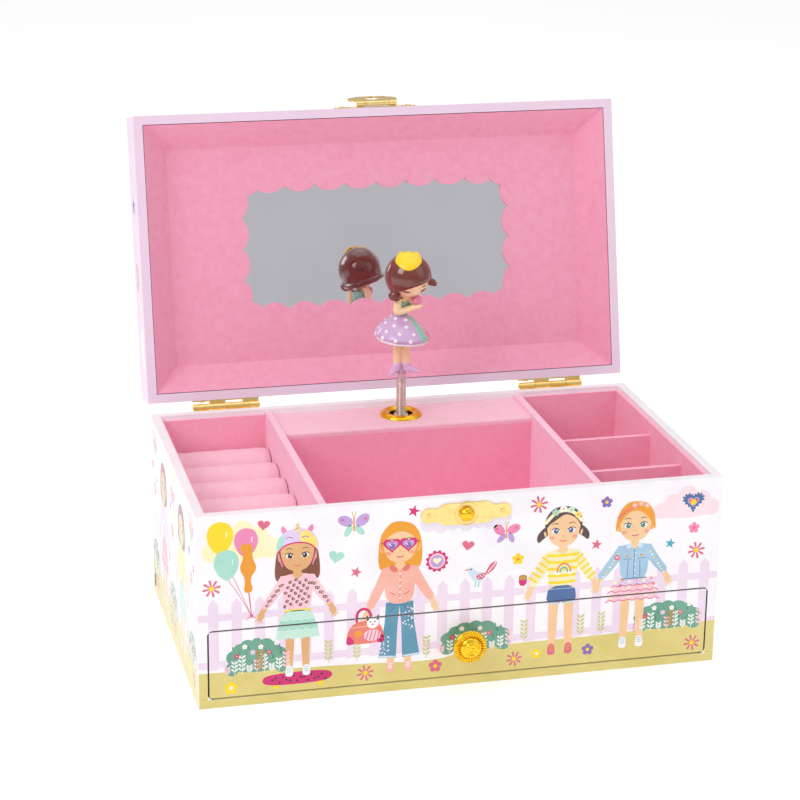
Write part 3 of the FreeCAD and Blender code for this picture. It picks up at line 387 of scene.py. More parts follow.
class Print:
    """The picture on one flat face: shapes by colour and layer, and one thin raised piece for each colour."""

    def __init__(self, name, place, regions, pale=0.0):
        self.name, self.place, self.regions, self.pale = name, place, regions, pale
        self.shapes = {}

    def add(self, ink, layer, *outlines):
        self.shapes.setdefault(ink, {}).setdefault(layer, []).extend(outlines)

    def flat(self, outlines, bounds):
        """The outlines joined into one flat mesh of triangles, cut along every region's edges."""
        spots, rings = [], []
        for outline in outlines:
            ring = outline if area(outline) > 0 else outline[::-1]
            rings.append(list(range(len(spots), len(spots) + len(ring))))
            spots += [Vector(p) for p in ring]
        points, _, faces, _, _, sources = delaunay_2d_cdt(spots, [], rings, 0, 1e-5, True)
        made = bmesh.new()
        verts = [made.verts.new((v.x, v.y, 0)) for v in points]
        for face, source in zip(faces, sources):
            if source:
                made.faces.new([verts[i] for i in face])
        made.normal_update()
        for x0, y0, x1, y1 in bounds:
            for spot in ((x0, 0, 0), (x1, 0, 0), (0, y0, 0), (0, y1, 0)):
                geom = made.verts[:] + made.edges[:] + made.faces[:]
                normal = (1, 0, 0) if spot[0] else (0, 1, 0)
                bmesh.ops.bisect_plane(made, geom=geom, plane_co=spot, plane_no=normal, dist=1e-5)
        return made

    def build(self):
        """Makes the pieces, each on its region's body."""
        bounds = [box for _, box, _ in self.regions] + [hole for _, _, hole in self.regions if hole]
        for ink in sorted(self.shapes):
            lists = {body: ([], []) for body, _, _ in self.regions}
            for layer, outlines in sorted(self.shapes[ink].items()):
                made = self.flat(outlines, bounds)
                for body, box, hole in self.regions:
                    kept = [f for f in made.faces if f.calc_area() > 1e-6 and inside(f, box)
                            and not (hole and inside(f, hole))]
                    self.thicken(kept, layer * LAYER, *lists[body])
                made.free()
            for body, (verts, faces) in lists.items():
                if faces:
                    piece = mesh_object(f"print_{self.name}_{ink}_{body}", verts, faces,
                                        ink_material(ink, self.pale))
                    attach(piece, body)

    def thicken(self, kept, height, verts, faces):
        """Adds closed prisms from just inside the board up to a height."""
        index = {}
        for face in kept:
            if face.normal.z < 0:
                face.normal_flip()
            for vert in face.verts:
                if vert not in index:
                    index[vert] = len(verts)
                    for level in (height, -0.02):
                        verts.append(self.place @ (Vector((vert.co.x, vert.co.y, level)) * MM))
        chosen = set(kept)
        for face in kept:
            ring = [index[v] for v in face.verts]
            faces.append(ring)
            faces.append([i + 1 for i in reversed(ring)])
            for loop in face.loops:
                if sum(f in chosen for f in loop.edge.link_faces) == 1:
                    a, b = index[loop.vert], index[loop.link_loop_next.vert]
                    faces.append([b, a, a + 1, b + 1])


class Spot:
    """A place in a picture, with a scale. The plural calls draw on both sides of it."""

    count = 28

    def __init__(self, pic, x, y, size=1.0):
        self.pic, self.x, self.y, self.size = pic, x, y, size

    def at(self, points, side=1):
        return [(self.x + side * u * self.size, self.y + v * self.size) for u, v in points]

    def blob(self, ink, layer, points, rounds=2, sides=(1,)):
        self.pic.add(ink, layer, *[soft(self.at(points, side), rounds) for side in sides])

    def blobs(self, ink, layer, points, rounds=2):
        self.blob(ink, layer, points, rounds, BOTH)

    def even(self, ink, layer, half, rounds=2):
        self.blob(ink, layer, twin(half), rounds)

    def line(self, ink, layer, points, wide, end=None, sides=(1,)):
        wide, end = wide * self.size, (end or wide) * self.size
        for side in sides:
            self.pic.add(ink, layer, stroke(self.at(points, side), wide, end))

    def lines(self, ink, layer, points, wide, end=None):
        self.line(ink, layer, points, wide, end, BOTH)

    def dot(self, ink, layer, x, y, wide, tall=None, turn=0):
        (u, v), = self.at([(x, y)])
        self.pic.add(ink, layer, disc(u, v, wide * self.size, (tall or wide) * self.size, turn, self.count))

    def dots(self, ink, layer, x, y, wide, tall=None):
        for side in BOTH:
            self.dot(ink, layer, side * x, y, wide, tall)

    def bloom(self, x, y, size, ink, heart_ink):
        blossom(self.pic, *self.at([(x, y)])[0], size, ink, heart_ink, 12)

    def speckle(self, ink, layer, count, x, wide, y, tall, size):
        """Dots spread evenly over a patch."""
        for i in range(count):
            self.dot(ink, layer, x + wide * (i * GOLDEN % 1), y + tall * i / count, size)

    def buttons(self, x, y, pitch, size):
        for i in range(5):
            self.dot("white", 10, x, y + pitch * i, size)


# ---------------------------------------------------------------- garden


def daisy(pic, x, y, size):
    for a in turns(8, math.radians(12)):
        ends = [(x + share * size * math.cos(a), y + share * size * math.sin(a)) for share in (0.3, 0.95)]
        pic.add("rose", 6, stroke(ends, 0.18 * size, 0.28 * size, 0))
    pic.add("yellow", 7, disc(x, y, 0.28 * size))


def blossom(pic, x, y, size, ink, heart_ink="white", layer=6):
    pic.add(ink, layer, petals(x, y, size, 5, 0.62, 0.3))
    pic.add(heart_ink, layer + 1, disc(x, y, 0.27 * size))


def butterfly(pic, x, y, span, upper, lower, turn):
    it = Spot(pic, x, y, span)
    for side in BOTH:
        it.dot(upper, 3, side * 0.27, 0.13, 0.25, 0.17, turn + side * 32)
        it.dot(lower, 3, side * 0.18, -0.20, 0.21, 0.10, turn - side * 55)
    it.dots("rose", 4, 0.36, 0.17, 0.045)
    it.lines("amber", 4, [(0, 0.2), (0.07, 0.42)], 0.35 / span, 0.3 / span)
    it.line("amber", 5, [(0, -0.2), (0, 0.22)], 0.06, 0.04)


def bush(pic, x, y, wide, tall):
    """A rounded bush with flowers, white sprigs and a fern."""
    it = Spot(pic, x, y)
    for i in range(9):
        a = math.pi * i / 8
        it.dot("bush", 4, -0.4 * wide * math.cos(a), 0.14 * tall + 0.64 * tall * math.sin(a) ** 0.7,
               (0.105 + 0.02 * (i % 2)) * wide, 0.21 * tall)
    it.even("bush", 4, [(0, 0.9 * tall), (0.4 * wide, 0.6 * tall), (0.44 * wide, 0)], 3)
    chance = random.Random(int(1000 + x * 7))
    for _ in range(16):
        u, v = chance.uniform(-0.4, 0.4) * wide, chance.uniform(0.2, 0.8) * tall
        it.line("leaf", 4.5, [(u, v), (u + chance.uniform(-0.6, 0.6), v + 1.7)], 0.9, 0.3)
    for i, ink in enumerate(("magenta", "white", "lavender", "white", "rose", "white")):
        v = (0.72 if i % 2 else 0.5) * tall + 0.04 * tall * (i % 3)
        blossom(pic, x + (i - 2.5) * 0.13 * wide, y + v, 1.45, ink, "yellow", 6)
    for i in range(9):
        sprig(pic, x + (i - 4) * 0.12 * wide, y - 0.5, 4.4 + 3 * (i % 3), "sprig" if i % 4 else "blush", 6)
    sprig(pic, x + 0.05 * wide, y, 0.62 * tall, "fern", 7)


def sprig(pic, x, y, tall, ink, layer):
    """A stem with paired leaves, larger on a taller stem."""
    it, wide = Spot(pic, x, y), 0.75 + 0.035 * tall
    it.line(ink, layer, [(0, 0), (0.04 * tall, 0.6 * tall), (0, tall)], 0.4, 0.3)
    pairs = max(3, int(tall / 2.2))
    for i in range(pairs):
        v = tall * (i + 1) / (pairs + 0.6)
        it.blobs(ink, layer, [(0, v - 0.5), (1.2 * wide, v - 0.1), (2.1 * wide, v + 1.5 * wide),
                              (0.6 * wide, v + 1.1 * wide)])


def cloud(pic, x, y, wide, tall, ink):
    """A flat-bottomed cloud of puffs."""
    for u, v, across, high in ((0.02, 0.08, 0.17, 0.42), (-0.2, -0.04, 0.14, 0.32), (0.22, 0.0, 0.15, 0.34),
                               (-0.36, -0.2, 0.14, 0.24), (0.37, -0.18, 0.13, 0.25), (0.0, -0.24, 0.4, 0.22)):
        pic.add(ink, 1, disc(x + u * wide, y + v * tall, across * wide, high * tall))


def balloon(pic, x, y, size, ink, knot, layer):
    """A balloon with a shine and a string down to a knot."""
    it = Spot(pic, x, y, size)
    it.even(ink, layer + 1, [(0.16, 1.3), (0.78, 1.05), (1.04, 0.15), (0.68, -0.75), (0.14, -1.22)], 3)
    it.line("white", layer + 2, [(0.45, 0.1), (0.5, 0.5)], 0.5 / size, 0.4 / size)
    bend = (0.4 * x + 0.6 * knot[0] - 0.8, 0.4 * y + 0.6 * knot[1])
    pic.add("rose", layer, stroke([(x, y - size), bend, knot], 0.3))


def fence(pic, wide, shift, pitch=12):
    """Pale pickets with pointed tops on two rails."""
    half = 2.65
    for i in range(int(2 * wide / pitch) + 2):
        x = -wide + shift + i * pitch
        if abs(x) < wide - 1:
            picket = [(x - half, 21.5), (x + half, 21.5), (x + half, 57.4), (x, 60.6), (x - half, 57.4)]
            pic.add("fence", 2, picket)
    for low, high in ((48.6, 52.4), (22.4, 26.3)):
        pic.add("fence", 2, [(-wide, low), (wide, low), (wide, high), (-wide, high)])


def ground(pic, line):
    """Grass from the bottom edge up to a line of points, with a seam low in it."""
    first, last = line[0][0], line[-1][0]
    pic.add("grass", 3, [(first, 0.4), (last, 0.4)] + soft(line, 2, False)[::-1])
    pic.add("turf", 4, stroke([(first + 1, 5.6), (0.5 * (first + last), 5.2), (last - 1, 5.7)], 0.22))


# ---------------------------------------------------------------- printed dolls


class Doll(Spot):
    """A printed doll. Heights are from its feet, for a doll 82 tall, and scale with its own height."""

    count = 20

    def __init__(self, pic, x, foot, top, skin="skin"):
        super().__init__(pic, x, foot, (top - foot) / 82.0)
        self.skin = skin

    def limbs(self, hands, sleeve):
        """Hands, legs, and arms in long sleeves."""
        for side, (x, y) in zip(BOTH, hands):
            elbow = (0.62 * x + side, 0.5 * (57 + y))
            self.line(self.skin, 6, [(side * 7.2, 57), elbow, (x, y)], 4.0, 2.6)
            self.dot(self.skin, 6, x + side * 0.4, y - 1.6, 1.9, 2.6, side * 25)
            for spread in (-35, 0, 35):
                a, u, v = math.radians(-90 + side * 25 + spread), x + side * 0.6, y - 2.6
                self.line(self.skin, 6, [(u, v), (u + 3.2 * math.cos(a), v + 3.2 * math.sin(a))], 0.9, 0.6)
            self.line(sleeve, 7, [(side * 6.6, 57.2), elbow, (0.86 * x + side * 0.8, y + 3.5)], 6.2, 4.0)
        self.lines(self.skin, 5, [(4.0, 38), (4.2, 20), (4.6, 4)], 6.2, 3.2)

    def shoes(self, ink, laces):
        self.blobs(ink, 7, [(2.5, 0), (6.9, 0), (6.7, 3.6), (6.2, 6.4), (3.2, 6.4), (2.7, 3.6)])
        for x in (-4.7, 4.7):
            for y in (2.6, 3.8, 5.0):
                self.line(laces, 8, [(x - 1.1, y), (x + 1.1, y + 0.3)], 0.5)

    def head(self, eyes="ink", mouth="coral"):
        """A round face: two wide eyes with lashes, a small nose and a calm mouth."""
        self.line(self.skin, 8, [(0, 58.6), (0, 64)], 4.6)
        self.blobs(self.skin, 8, [(9.2, 69.5), (10.6, 71), (10.4, 68), (9.2, 66.8)])
        self.even(self.skin, 8, [(0, 82), (8.6, 79.5), (9.4, 72), (6.8, 63.4), (0, 60.6)], 3)
        self.dots("white", 9, 4.2, 70.2, 2.0, 1.5)
        self.dots(eyes, 10, 4.0, 70.2, 1.35, 1.45)
        self.dots("white", 11, 3.6, 70.8, 0.4)
        self.lines("ink", 11, [(2.3, 70.9), (4.2, 72.1), (6.5, 71.3)], 0.5, 0.35)
        self.lines("dark", 10, [(2.9, 74.0), (4.7, 74.7), (6.2, 74.0)], 0.45, 0.3)
        self.dots("cheek", 9, 6.2, 66.6, 1.5, 1.0)
        self.line("cheek", 9, [(-0.5, 67.6), (0.4, 67.2)], 0.5, 0.4)
        self.line(mouth, 10, [(-1.7, 64.8), (0, 64.1), (1.7, 64.8)], 0.75, 0.6)

    def shirt(self, ink, low=38.5):
        self.even(ink, 7, [(3, 60), (8.6, 58.6), (8.2, 50), (6.9, low)])
        self.even(self.skin, 8, [(3.6, 60.4), (2.0, 57.4)])


def helmet_girl(pic):
    """Pastel riding helmet, spotted top, mint ruffles, and a skateboard underfoot."""
    it = Doll(pic, -88.2, 14.2, 92.4, "tan")
    it.even("brown", 5, [(10.5, 78), (12.6, 62), (11.6, 55.5), (6, 56)])
    it.limbs(((-19.6, 38.5), (18.9, 38.8)), "blush")
    it.shirt("blush", 39)
    it.head()
    it.even("lavender", 11, [(0, 86), (7.5, 84.2), (11.4, 78), (11.2, 71.5), (7.5, 76.5), (0, 77.6)])
    it.blob("lemon", 12, [(1, 77.6), (7.5, 76.4), (10.6, 73), (11, 78), (7, 83.6), (2, 85)])
    it.blob("mint", 12, [(-11, 71.8), (-8, 76), (-6.5, 81), (-9.5, 82), (-11, 78)])
    it.line("magenta", 13, [(-10.6, 72.6), (-7, 76.6), (0, 78), (7, 76.6), (10.6, 72.6)], 0.8)
    it.lines("pink", 12, [(10.4, 72), (8.2, 64.5)], 0.9, 0.7)
    it.blobs("pink", 10, [(4.6, 84), (8.8, 83), (8.6, 88.6)])
    it.blob("lemon", 12, [(-1.6, 83.5), (1.6, 83.5), (0.2, 90.5)])
    it.line("rose", 13, [(-1.2, 85.2), (1.2, 86.2)], 0.5)
    it.line("lilac", 13, [(-0.8, 87.2), (0.9, 88)], 0.5)
    it.lines("violet", 13, [(2.6, 80.4), (4.4, 81.2), (6.2, 80.2)], 0.5, 0.4)
    chance = random.Random(3)
    for i in range(26):
        u, v = it.x - 6.6 + 13.2 * (i * GOLDEN % 1), it.y + 39 + 15 * (i + 0.5) / 26
        turn = chance.uniform(0, 360)
        pic.add("dark", 9, disc(u, v, 1.0, 0.8, turn, 10))
        pic.add("peach", 10, disc(u + 0.2, v, 0.42, 0.36, turn, 8))
    for side in BOTH:
        for i in range(9):
            u, v = side * (8.2 + 1.05 * i), 53.8 - 1.4 * i + i % 2
            it.dot("dark", 9, u, v, 0.95, 0.75, 40)
            it.dot("peach", 10, u + 0.15, v, 0.42)
    it.line("lemon", 9, [(-7, 38.8), (7, 38.8)], 1.3)
    for i, (low, wide) in enumerate(((22.0, 12.8), (27.2, 11.8), (32.5, 10.2))):
        it.blob("mint" if i % 2 else "frost", 7 + i,
                [(-6.8, 38.6), (6.8, 38.6)] + crimp(wide, low, 10, 0.9, -0.4), 1)
    it.speckle("lemon", 10, 34, -8.6, 17.2, 23.5, 14, 0.28)
    pic.add("yellow", 5, disc(-99.6, 9.2, 1.5), disc(-76.4, 9.2, 1.5))
    pic.add("magenta", 6, soft([(-107.6, 13.0), (-104.0, 9.6), (-73.5, 9.8), (-69.0, 13.4), (-73.0, 16.8),
                                (-104.0, 16.4)]))
    for i in range(16):
        pic.add("ink", 7, disc(-101.5 + 1.85 * i, 12.9 + 1.7 * math.sin(2.4 * i), 0.8, 0.55, 40 * i, 10))
    it.shoes("white", "sky")


def glasses_girl(pic):
    """Long ginger hair, heart glasses, peach cardigan and flared jeans."""
    it = Doll(pic, -34.6, 11.0, 93.4)
    it.blob("ginger", 5, [(-8, 81), (0, 84), (8, 81), (11.4, 74), (11.8, 59), (7, 56.6), (-8, 57.4),
                          (-11.6, 58.6), (-11.2, 74)])
    it.limbs(((-17.2, 34.8), (18.2, 37.4)), "peach")
    it.shirt("peach")
    it.blobs("coral", 9, [(4.2, 60.8), (0.4, 57.2), (3.0, 55.8), (6, 58.4)], 1)
    it.head("violet", "rose")
    it.blob("ginger", 10, [(-10, 66), (-10.6, 76), (-5.5, 83.6), (1, 84), (7.5, 81.8), (10.6, 75), (9.8, 66),
                           (8.4, 74.5), (2, 78.8), (-4.5, 77.5), (-8.4, 73.5)])
    for x, y in it.at([(-4.3, 70.6), (4.3, 70.6)]):
        pic.add("magenta", 12, heart(x, y, 9.4))
        pic.add("lilac", 13, heart(x, y + 0.1, 6.2))
        pic.add("violet", 14, disc(x, y, 1.5))
        pic.add("white", 15, stroke([(x - 1.4, y + 1.2), (x - 0.4, y + 0.2)], 0.5, 0.4))
    it.lines("magenta", 12, [(8.0, 72), (9.8, 72.6)], 1.0, 0.7)
    it.lines("rose", 9, [(2.4, 43.5), (5.2, 45)], 0.5)
    it.line("magenta", 12, [(-1.5, 71), (0, 71.4), (1.5, 71)], 0.9)
    it.line("rose", 9, [(0, 40), (0.2, 57)], 0.3)
    it.buttons(0.1, 41.5, 3.4, 0.45)
    it.blobs("denim", 6, [(-0.2, 39.6), (7.2, 39.6), (7.8, 28), (10.9, 9.0), (1.7, 8.2), (1.0, 27)], 0)
    it.lines("pale", 7, [(2.2, 8.9), (10.4, 9.6)], 1.0)
    it.lines("navy", 8, [(2.4, 37), (5.8, 33.8)], 0.4)
    it.line("navy", 8, [(-7.2, 37.8), (7.2, 37.8)], 0.35)
    for i in range(22):
        inks = ("white", "blush") if i % 3 else ("blush", "white")
        it.dot(inks[0], 9, 4.4 + 2.6 * math.sin(7 * i), 36 - 0.55 * i, 0.42)
        it.dot(inks[1], 9, -7.6 + 2.2 * math.sin(5 * i), 11 + 0.5 * i, 0.42)
    it.shoes("peach", "white")


def bag(pic, x, y):
    """A coral handbag with a small pup looking out."""
    it, pup = Spot(pic, x, y), Spot(pic, x + 3.8, y)
    it.line("magenta", 7, [(-4.6, 12.6), (-4.4, 18.4), (-0.4, 20), (2.6, 17.6), (3.2, 12.4)], 1.5)
    it.blob("coral", 8, [(-10.4, 0), (-9.4, 8), (-5, 12.8), (5, 12.8), (9, 9), (10.2, 0)])
    it.blob("magenta", 9, [(-10.4, 0), (-9.6, 5.2), (-6.6, 3.4), (-5.6, 0)], 1)
    it.blob("magenta", 9, [(10.2, 0), (9.8, 5.2), (6.8, 3.4), (5.8, 0)], 1)
    it.line("peach", 9, [(-8.4, 9.6), (7.4, 9.8)], 0.5)
    it.blob("amber", 9, [(-5.6, 4.2), (-2.0, 4.2), (-2.0, 7.4), (-5.6, 7.4)], 1)
    it.blob("blush", 10, [(-0.4, 1.4), (7.6, 1.4), (8.2, 7.4), (-0.8, 7.4)], 1)
    for i in range(4):
        it.line("rose", 11, [(0.2 + 2 * i, 1.8), (1.6 + 2 * i, 6.8)], 0.6)
    pup.dot("white", 12, 0, 11.6, 3.1, 3.4)
    pup.blobs("dark", 12, [(1.6, 13.6), (3.4, 16.4), (3.2, 12.4)], 1)
    pup.dots("ink", 13, 1.1, 12, 0.42)
    pup.dot("rose", 13, 0, 10.6, 0.6, 0.45)


def striped_girl(pic):
    """Dark bob with a flower band, striped top with an arch of colours, and blue shorts."""
    it = Doll(pic, 52.8, 12.4, 94.6)
    it.blobs("dark", 5, [(9, 74), (14.6, 68.5), (13.8, 63.5), (10.6, 66.5), (8, 68)])
    it.even("dark", 6, [(0, 84), (6, 82.6), (10, 77.5), (9.8, 70), (0, 62)])
    it.limbs(((-17.4, 37.8), (18.4, 39.4)), "straw")
    it.shirt("straw")
    it.head("navy")
    it.blob("dark", 10, [(-10, 69), (-10.2, 77.5), (-6, 82.8), (0, 84), (6, 82.8), (10.2, 77.5), (10, 69),
                         (8.6, 74.6), (5, 78), (0.6, 79.6), (-3.5, 76.8), (-8.4, 73.6)])
    it.line("cream", 11, [(-9.8, 75), (-5, 80.4), (0, 81.8), (5.5, 80.4), (9.8, 75)], 1.8)
    flowers = (-4.6, 80.6, "mint"), (-0.4, 82.4, "white"), (3.8, 81.6, "frost"), (7.6, 78.6, "lemon")
    for x, y, ink in flowers:
        it.bloom(x, y, 2.0, ink, "amber")
    for i in range(5):
        v = 41.5 + 3.8 * i
        reach = 7.0 + 0.09 * (v - 40)
        it.line("yellow", 9, [(-reach, v), (0, v - 0.5), (reach, v)], 1.5)
        for side in BOTH:
            u, v = side * (9.0 + 1.75 * i), 54.6 - 2.7 * i
            it.line("yellow", 9, [(u - 1.9, v - side * 1.5), (u + 1.9, v + side * 1.5)], 1.2)
    for x in (-2.6, 4.4):
        it.dot("white", 10, x, 46.6, 1.5, 1.1)
    for i, ink in enumerate(("teal", "lemon", "coral")):
        reach = 2.0 + 0.85 * i
        it.line(ink, 11, [(0.9 + reach * u, 47 + reach * v)
                          for u, v in ((-1, 0), (-0.8, 0.95), (0, 1.35), (0.8, 0.95), (1, 0))], 0.8)
    it.even("navy", 8, [(7.2, 39.4), (8.4, 29.6), (0.6, 29.2), (0, 31.5)], 1)
    it.lines("pale", 9, [(0.8, 29.4), (8.2, 29.8)], 0.8)
    it.line("sky", 9, [(-7, 37.6), (7, 37.6)], 0.35)
    it.shoes("rose", "amber")
    lolly = Spot(pic, 31.2, 52.6)
    lolly.line("cream", 8, [(1.6, -2.2), (0.8, 2)], 0.9)
    lolly.blob("magenta", 9, [(-1.9, 1), (2.3, 1), (2.5, 6.6), (-1.9, 6.8)])
    lolly.blob("fern", 10, [(-1.9, 4.2), (2.4, 4), (2.5, 7), (-1.9, 7.2)])
    for i in range(5):
        lolly.dot("lemon", 11, -1.2 + 0.7 * i, 5.2 + 0.7 * (i % 2), 0.22)


def tutu_girl(pic):
    """Ginger bob with a red band, light denim jacket and a pink tutu."""
    it = Doll(pic, 92.4, 12.6, 94.2)
    it.even("ginger", 5, [(0, 84), (9.8, 78), (11.6, 65.6)])
    it.limbs(((-20.2, 38.8), (18.8, 39.8)), "sky")
    it.shirt("sky", 39)
    it.head("leaf", "rose")
    it.blob("ginger", 10, [(-11.2, 65.4), (-10.6, 76), (-5.5, 83.4), (1, 84), (7.5, 81.8), (10.8, 75),
                           (11.2, 65.4), (8.6, 72.5), (3, 78.4), (-3.5, 78.6), (-8.4, 72.5)])
    it.line("coral", 11, [(-9.8, 75), (-4.5, 79.6), (2, 81.2)], 1.5, 1.2)
    for x, y in ((-1.0, 81.6), (2.4, 82.2), (5.8, 81.0)):
        it.bloom(x, y, 1.6, "peach", "cream")
    it.blobs("pale", 9, [(0.6, 59.6), (5.2, 59.8), (3.6, 56.4)], 1)
    it.line("navy", 9, [(0, 39.6), (0, 57)], 0.35)
    it.lines("navy", 9, [(3.6, 40), (3.2, 50.5)], 0.28)
    it.lines("navy", 9, [(1.4, 51.2), (6.4, 51.4)], 0.28)
    it.dots("amber", 10, 3.8, 53, 0.7)
    for side in BOTH:
        for i in range(9):
            ink = "white" if i % 3 == 1 else "lemon"
            it.dot(ink, 9, side * (8.8 + 1.15 * i), 54.4 - 1.75 * i, 0.62, 0.5, 30)
    it.buttons(0.6, 41.5, 3.3, 0.4)
    it.line("navy", 9, [(-7, 40), (7, 40)], 0.45)
    (x, y), = it.at([(-9.6, 52.6)])
    pic.add("rose", 10, disc(x, y, 1.6))
    pic.add("blush", 11, heart(x, y, 1.7))
    tiers = (27.2, 15.6, "blush"), (32.4, 14.6, "blush"), (35.6, 12.6, "lavender")
    for i, (low, wide, ink) in enumerate(tiers):
        it.blob(ink, 6 + i, [(-7, 39.6), (7, 39.6)] + crimp(wide, low, 12, 1.2, -0.5), 1)
        it.line("rose", 7 + i, crimp(0.97 * wide, low, 12, 1.3, -0.2), 0.5)
        for k in range(6):
            it.dot("peach" if k % 2 else "cream", 7 + i, (0.32 * k - 0.8) * wide, low + 2.6 + k % 2, 0.95)
    it.shoes("white", "sky")


def plain_doll(pic, x, foot, top, hair, shirt_ink, skirt, skin):
    """A simpler doll, for the faces beside and behind."""
    it = Doll(pic, x, foot, top, skin)
    it.even(hair, 5, [(0, 84), (9, 80), (12, 70), (11.8, 60)])
    it.limbs(((-18, 38), (18, 38)), shirt_ink)
    it.shirt(shirt_ink)
    it.head()
    it.blob(hair, 10, [(-10.6, 66), (-10.6, 76), (-5.5, 83.4), (1, 84), (7.5, 81.8), (10.8, 75), (10.4, 66),
                       (8.6, 73.5), (3, 78.4), (-3.5, 78.6), (-8.4, 73.5)])
    it.line("magenta", 11, [(-9.4, 76), (-4, 80.4), (3, 81.4), (9.2, 76.6)], 1.3)
    for low, wide in ((20, 13.5), (27, 11.5)):
        it.blob(skirt, 7, [(-6.8, 39), (6.8, 39)] + crimp(wide, low, 10, 1.0, -0.4), 1)
        it.line("white", 8, crimp(0.95 * wide, low, 10, 1.6, 0.4), 0.5)
    it.speckle("white", 9, 24, -8, 16, 23, 14, 0.5)
    pic.add("white", 9, heart(*it.at([(0, 49)])[0], 4.6))
    it.shoes("white", "pink")


def bird(pic, x, y):
    """A small pale bird with a spotted wing and tail."""
    it = Spot(pic, x, y)
    it.blob("rose", 4, [(2, -1), (7.4, 2.6), (9.4, 7.4), (5.4, 6.6), (3, 2)])
    it.blob("pale", 5, [(-7.2, 3.8), (-4.6, 5.4), (-2.6, 2.2), (3.8, 0.8), (1.4, -3.8), (-3.6, -3.8),
                        (-5.6, 0)])
    it.blob("rose", 6, [(-2.8, 0.2), (3.6, 1.8), (1.6, -2.4), (-1.6, -2.4)])
    it.blob("amber", 4, [(-6.6, 4.4), (-8.6, 3.4), (-6.6, 3.0)], 0)
    it.dot("ink", 6, -5.2, 3.7, 0.45)
    for i in range(6):
        it.dot("white", 7, -1 + 0.9 * i, -1.2 + 0.9 * (i % 2) + 0.2 * i, 0.32)
        it.dot("white", 5, 4.4 + 0.7 * i, 1.8 + 0.9 * i, 0.42)
    for u in (-2.4, -0.6):
        it.line("teal", 4, [(u, -3.6), (u - 0.4, -6.4)], 0.4)


# ---------------------------------------------------------------- pictures

HALF_LONG, HALF_DEEP, RIM = 140, 80.5, 106.7
CASE_TOP, LID_TALL = 107, 31
LID_ANGLE = 103.3
SIDE_PALE = 0.4
OPENING = (-135, 5, 135, 43.5)
DRAWER_FACE = (-134.1, 5.9, 134.1, 42.6)


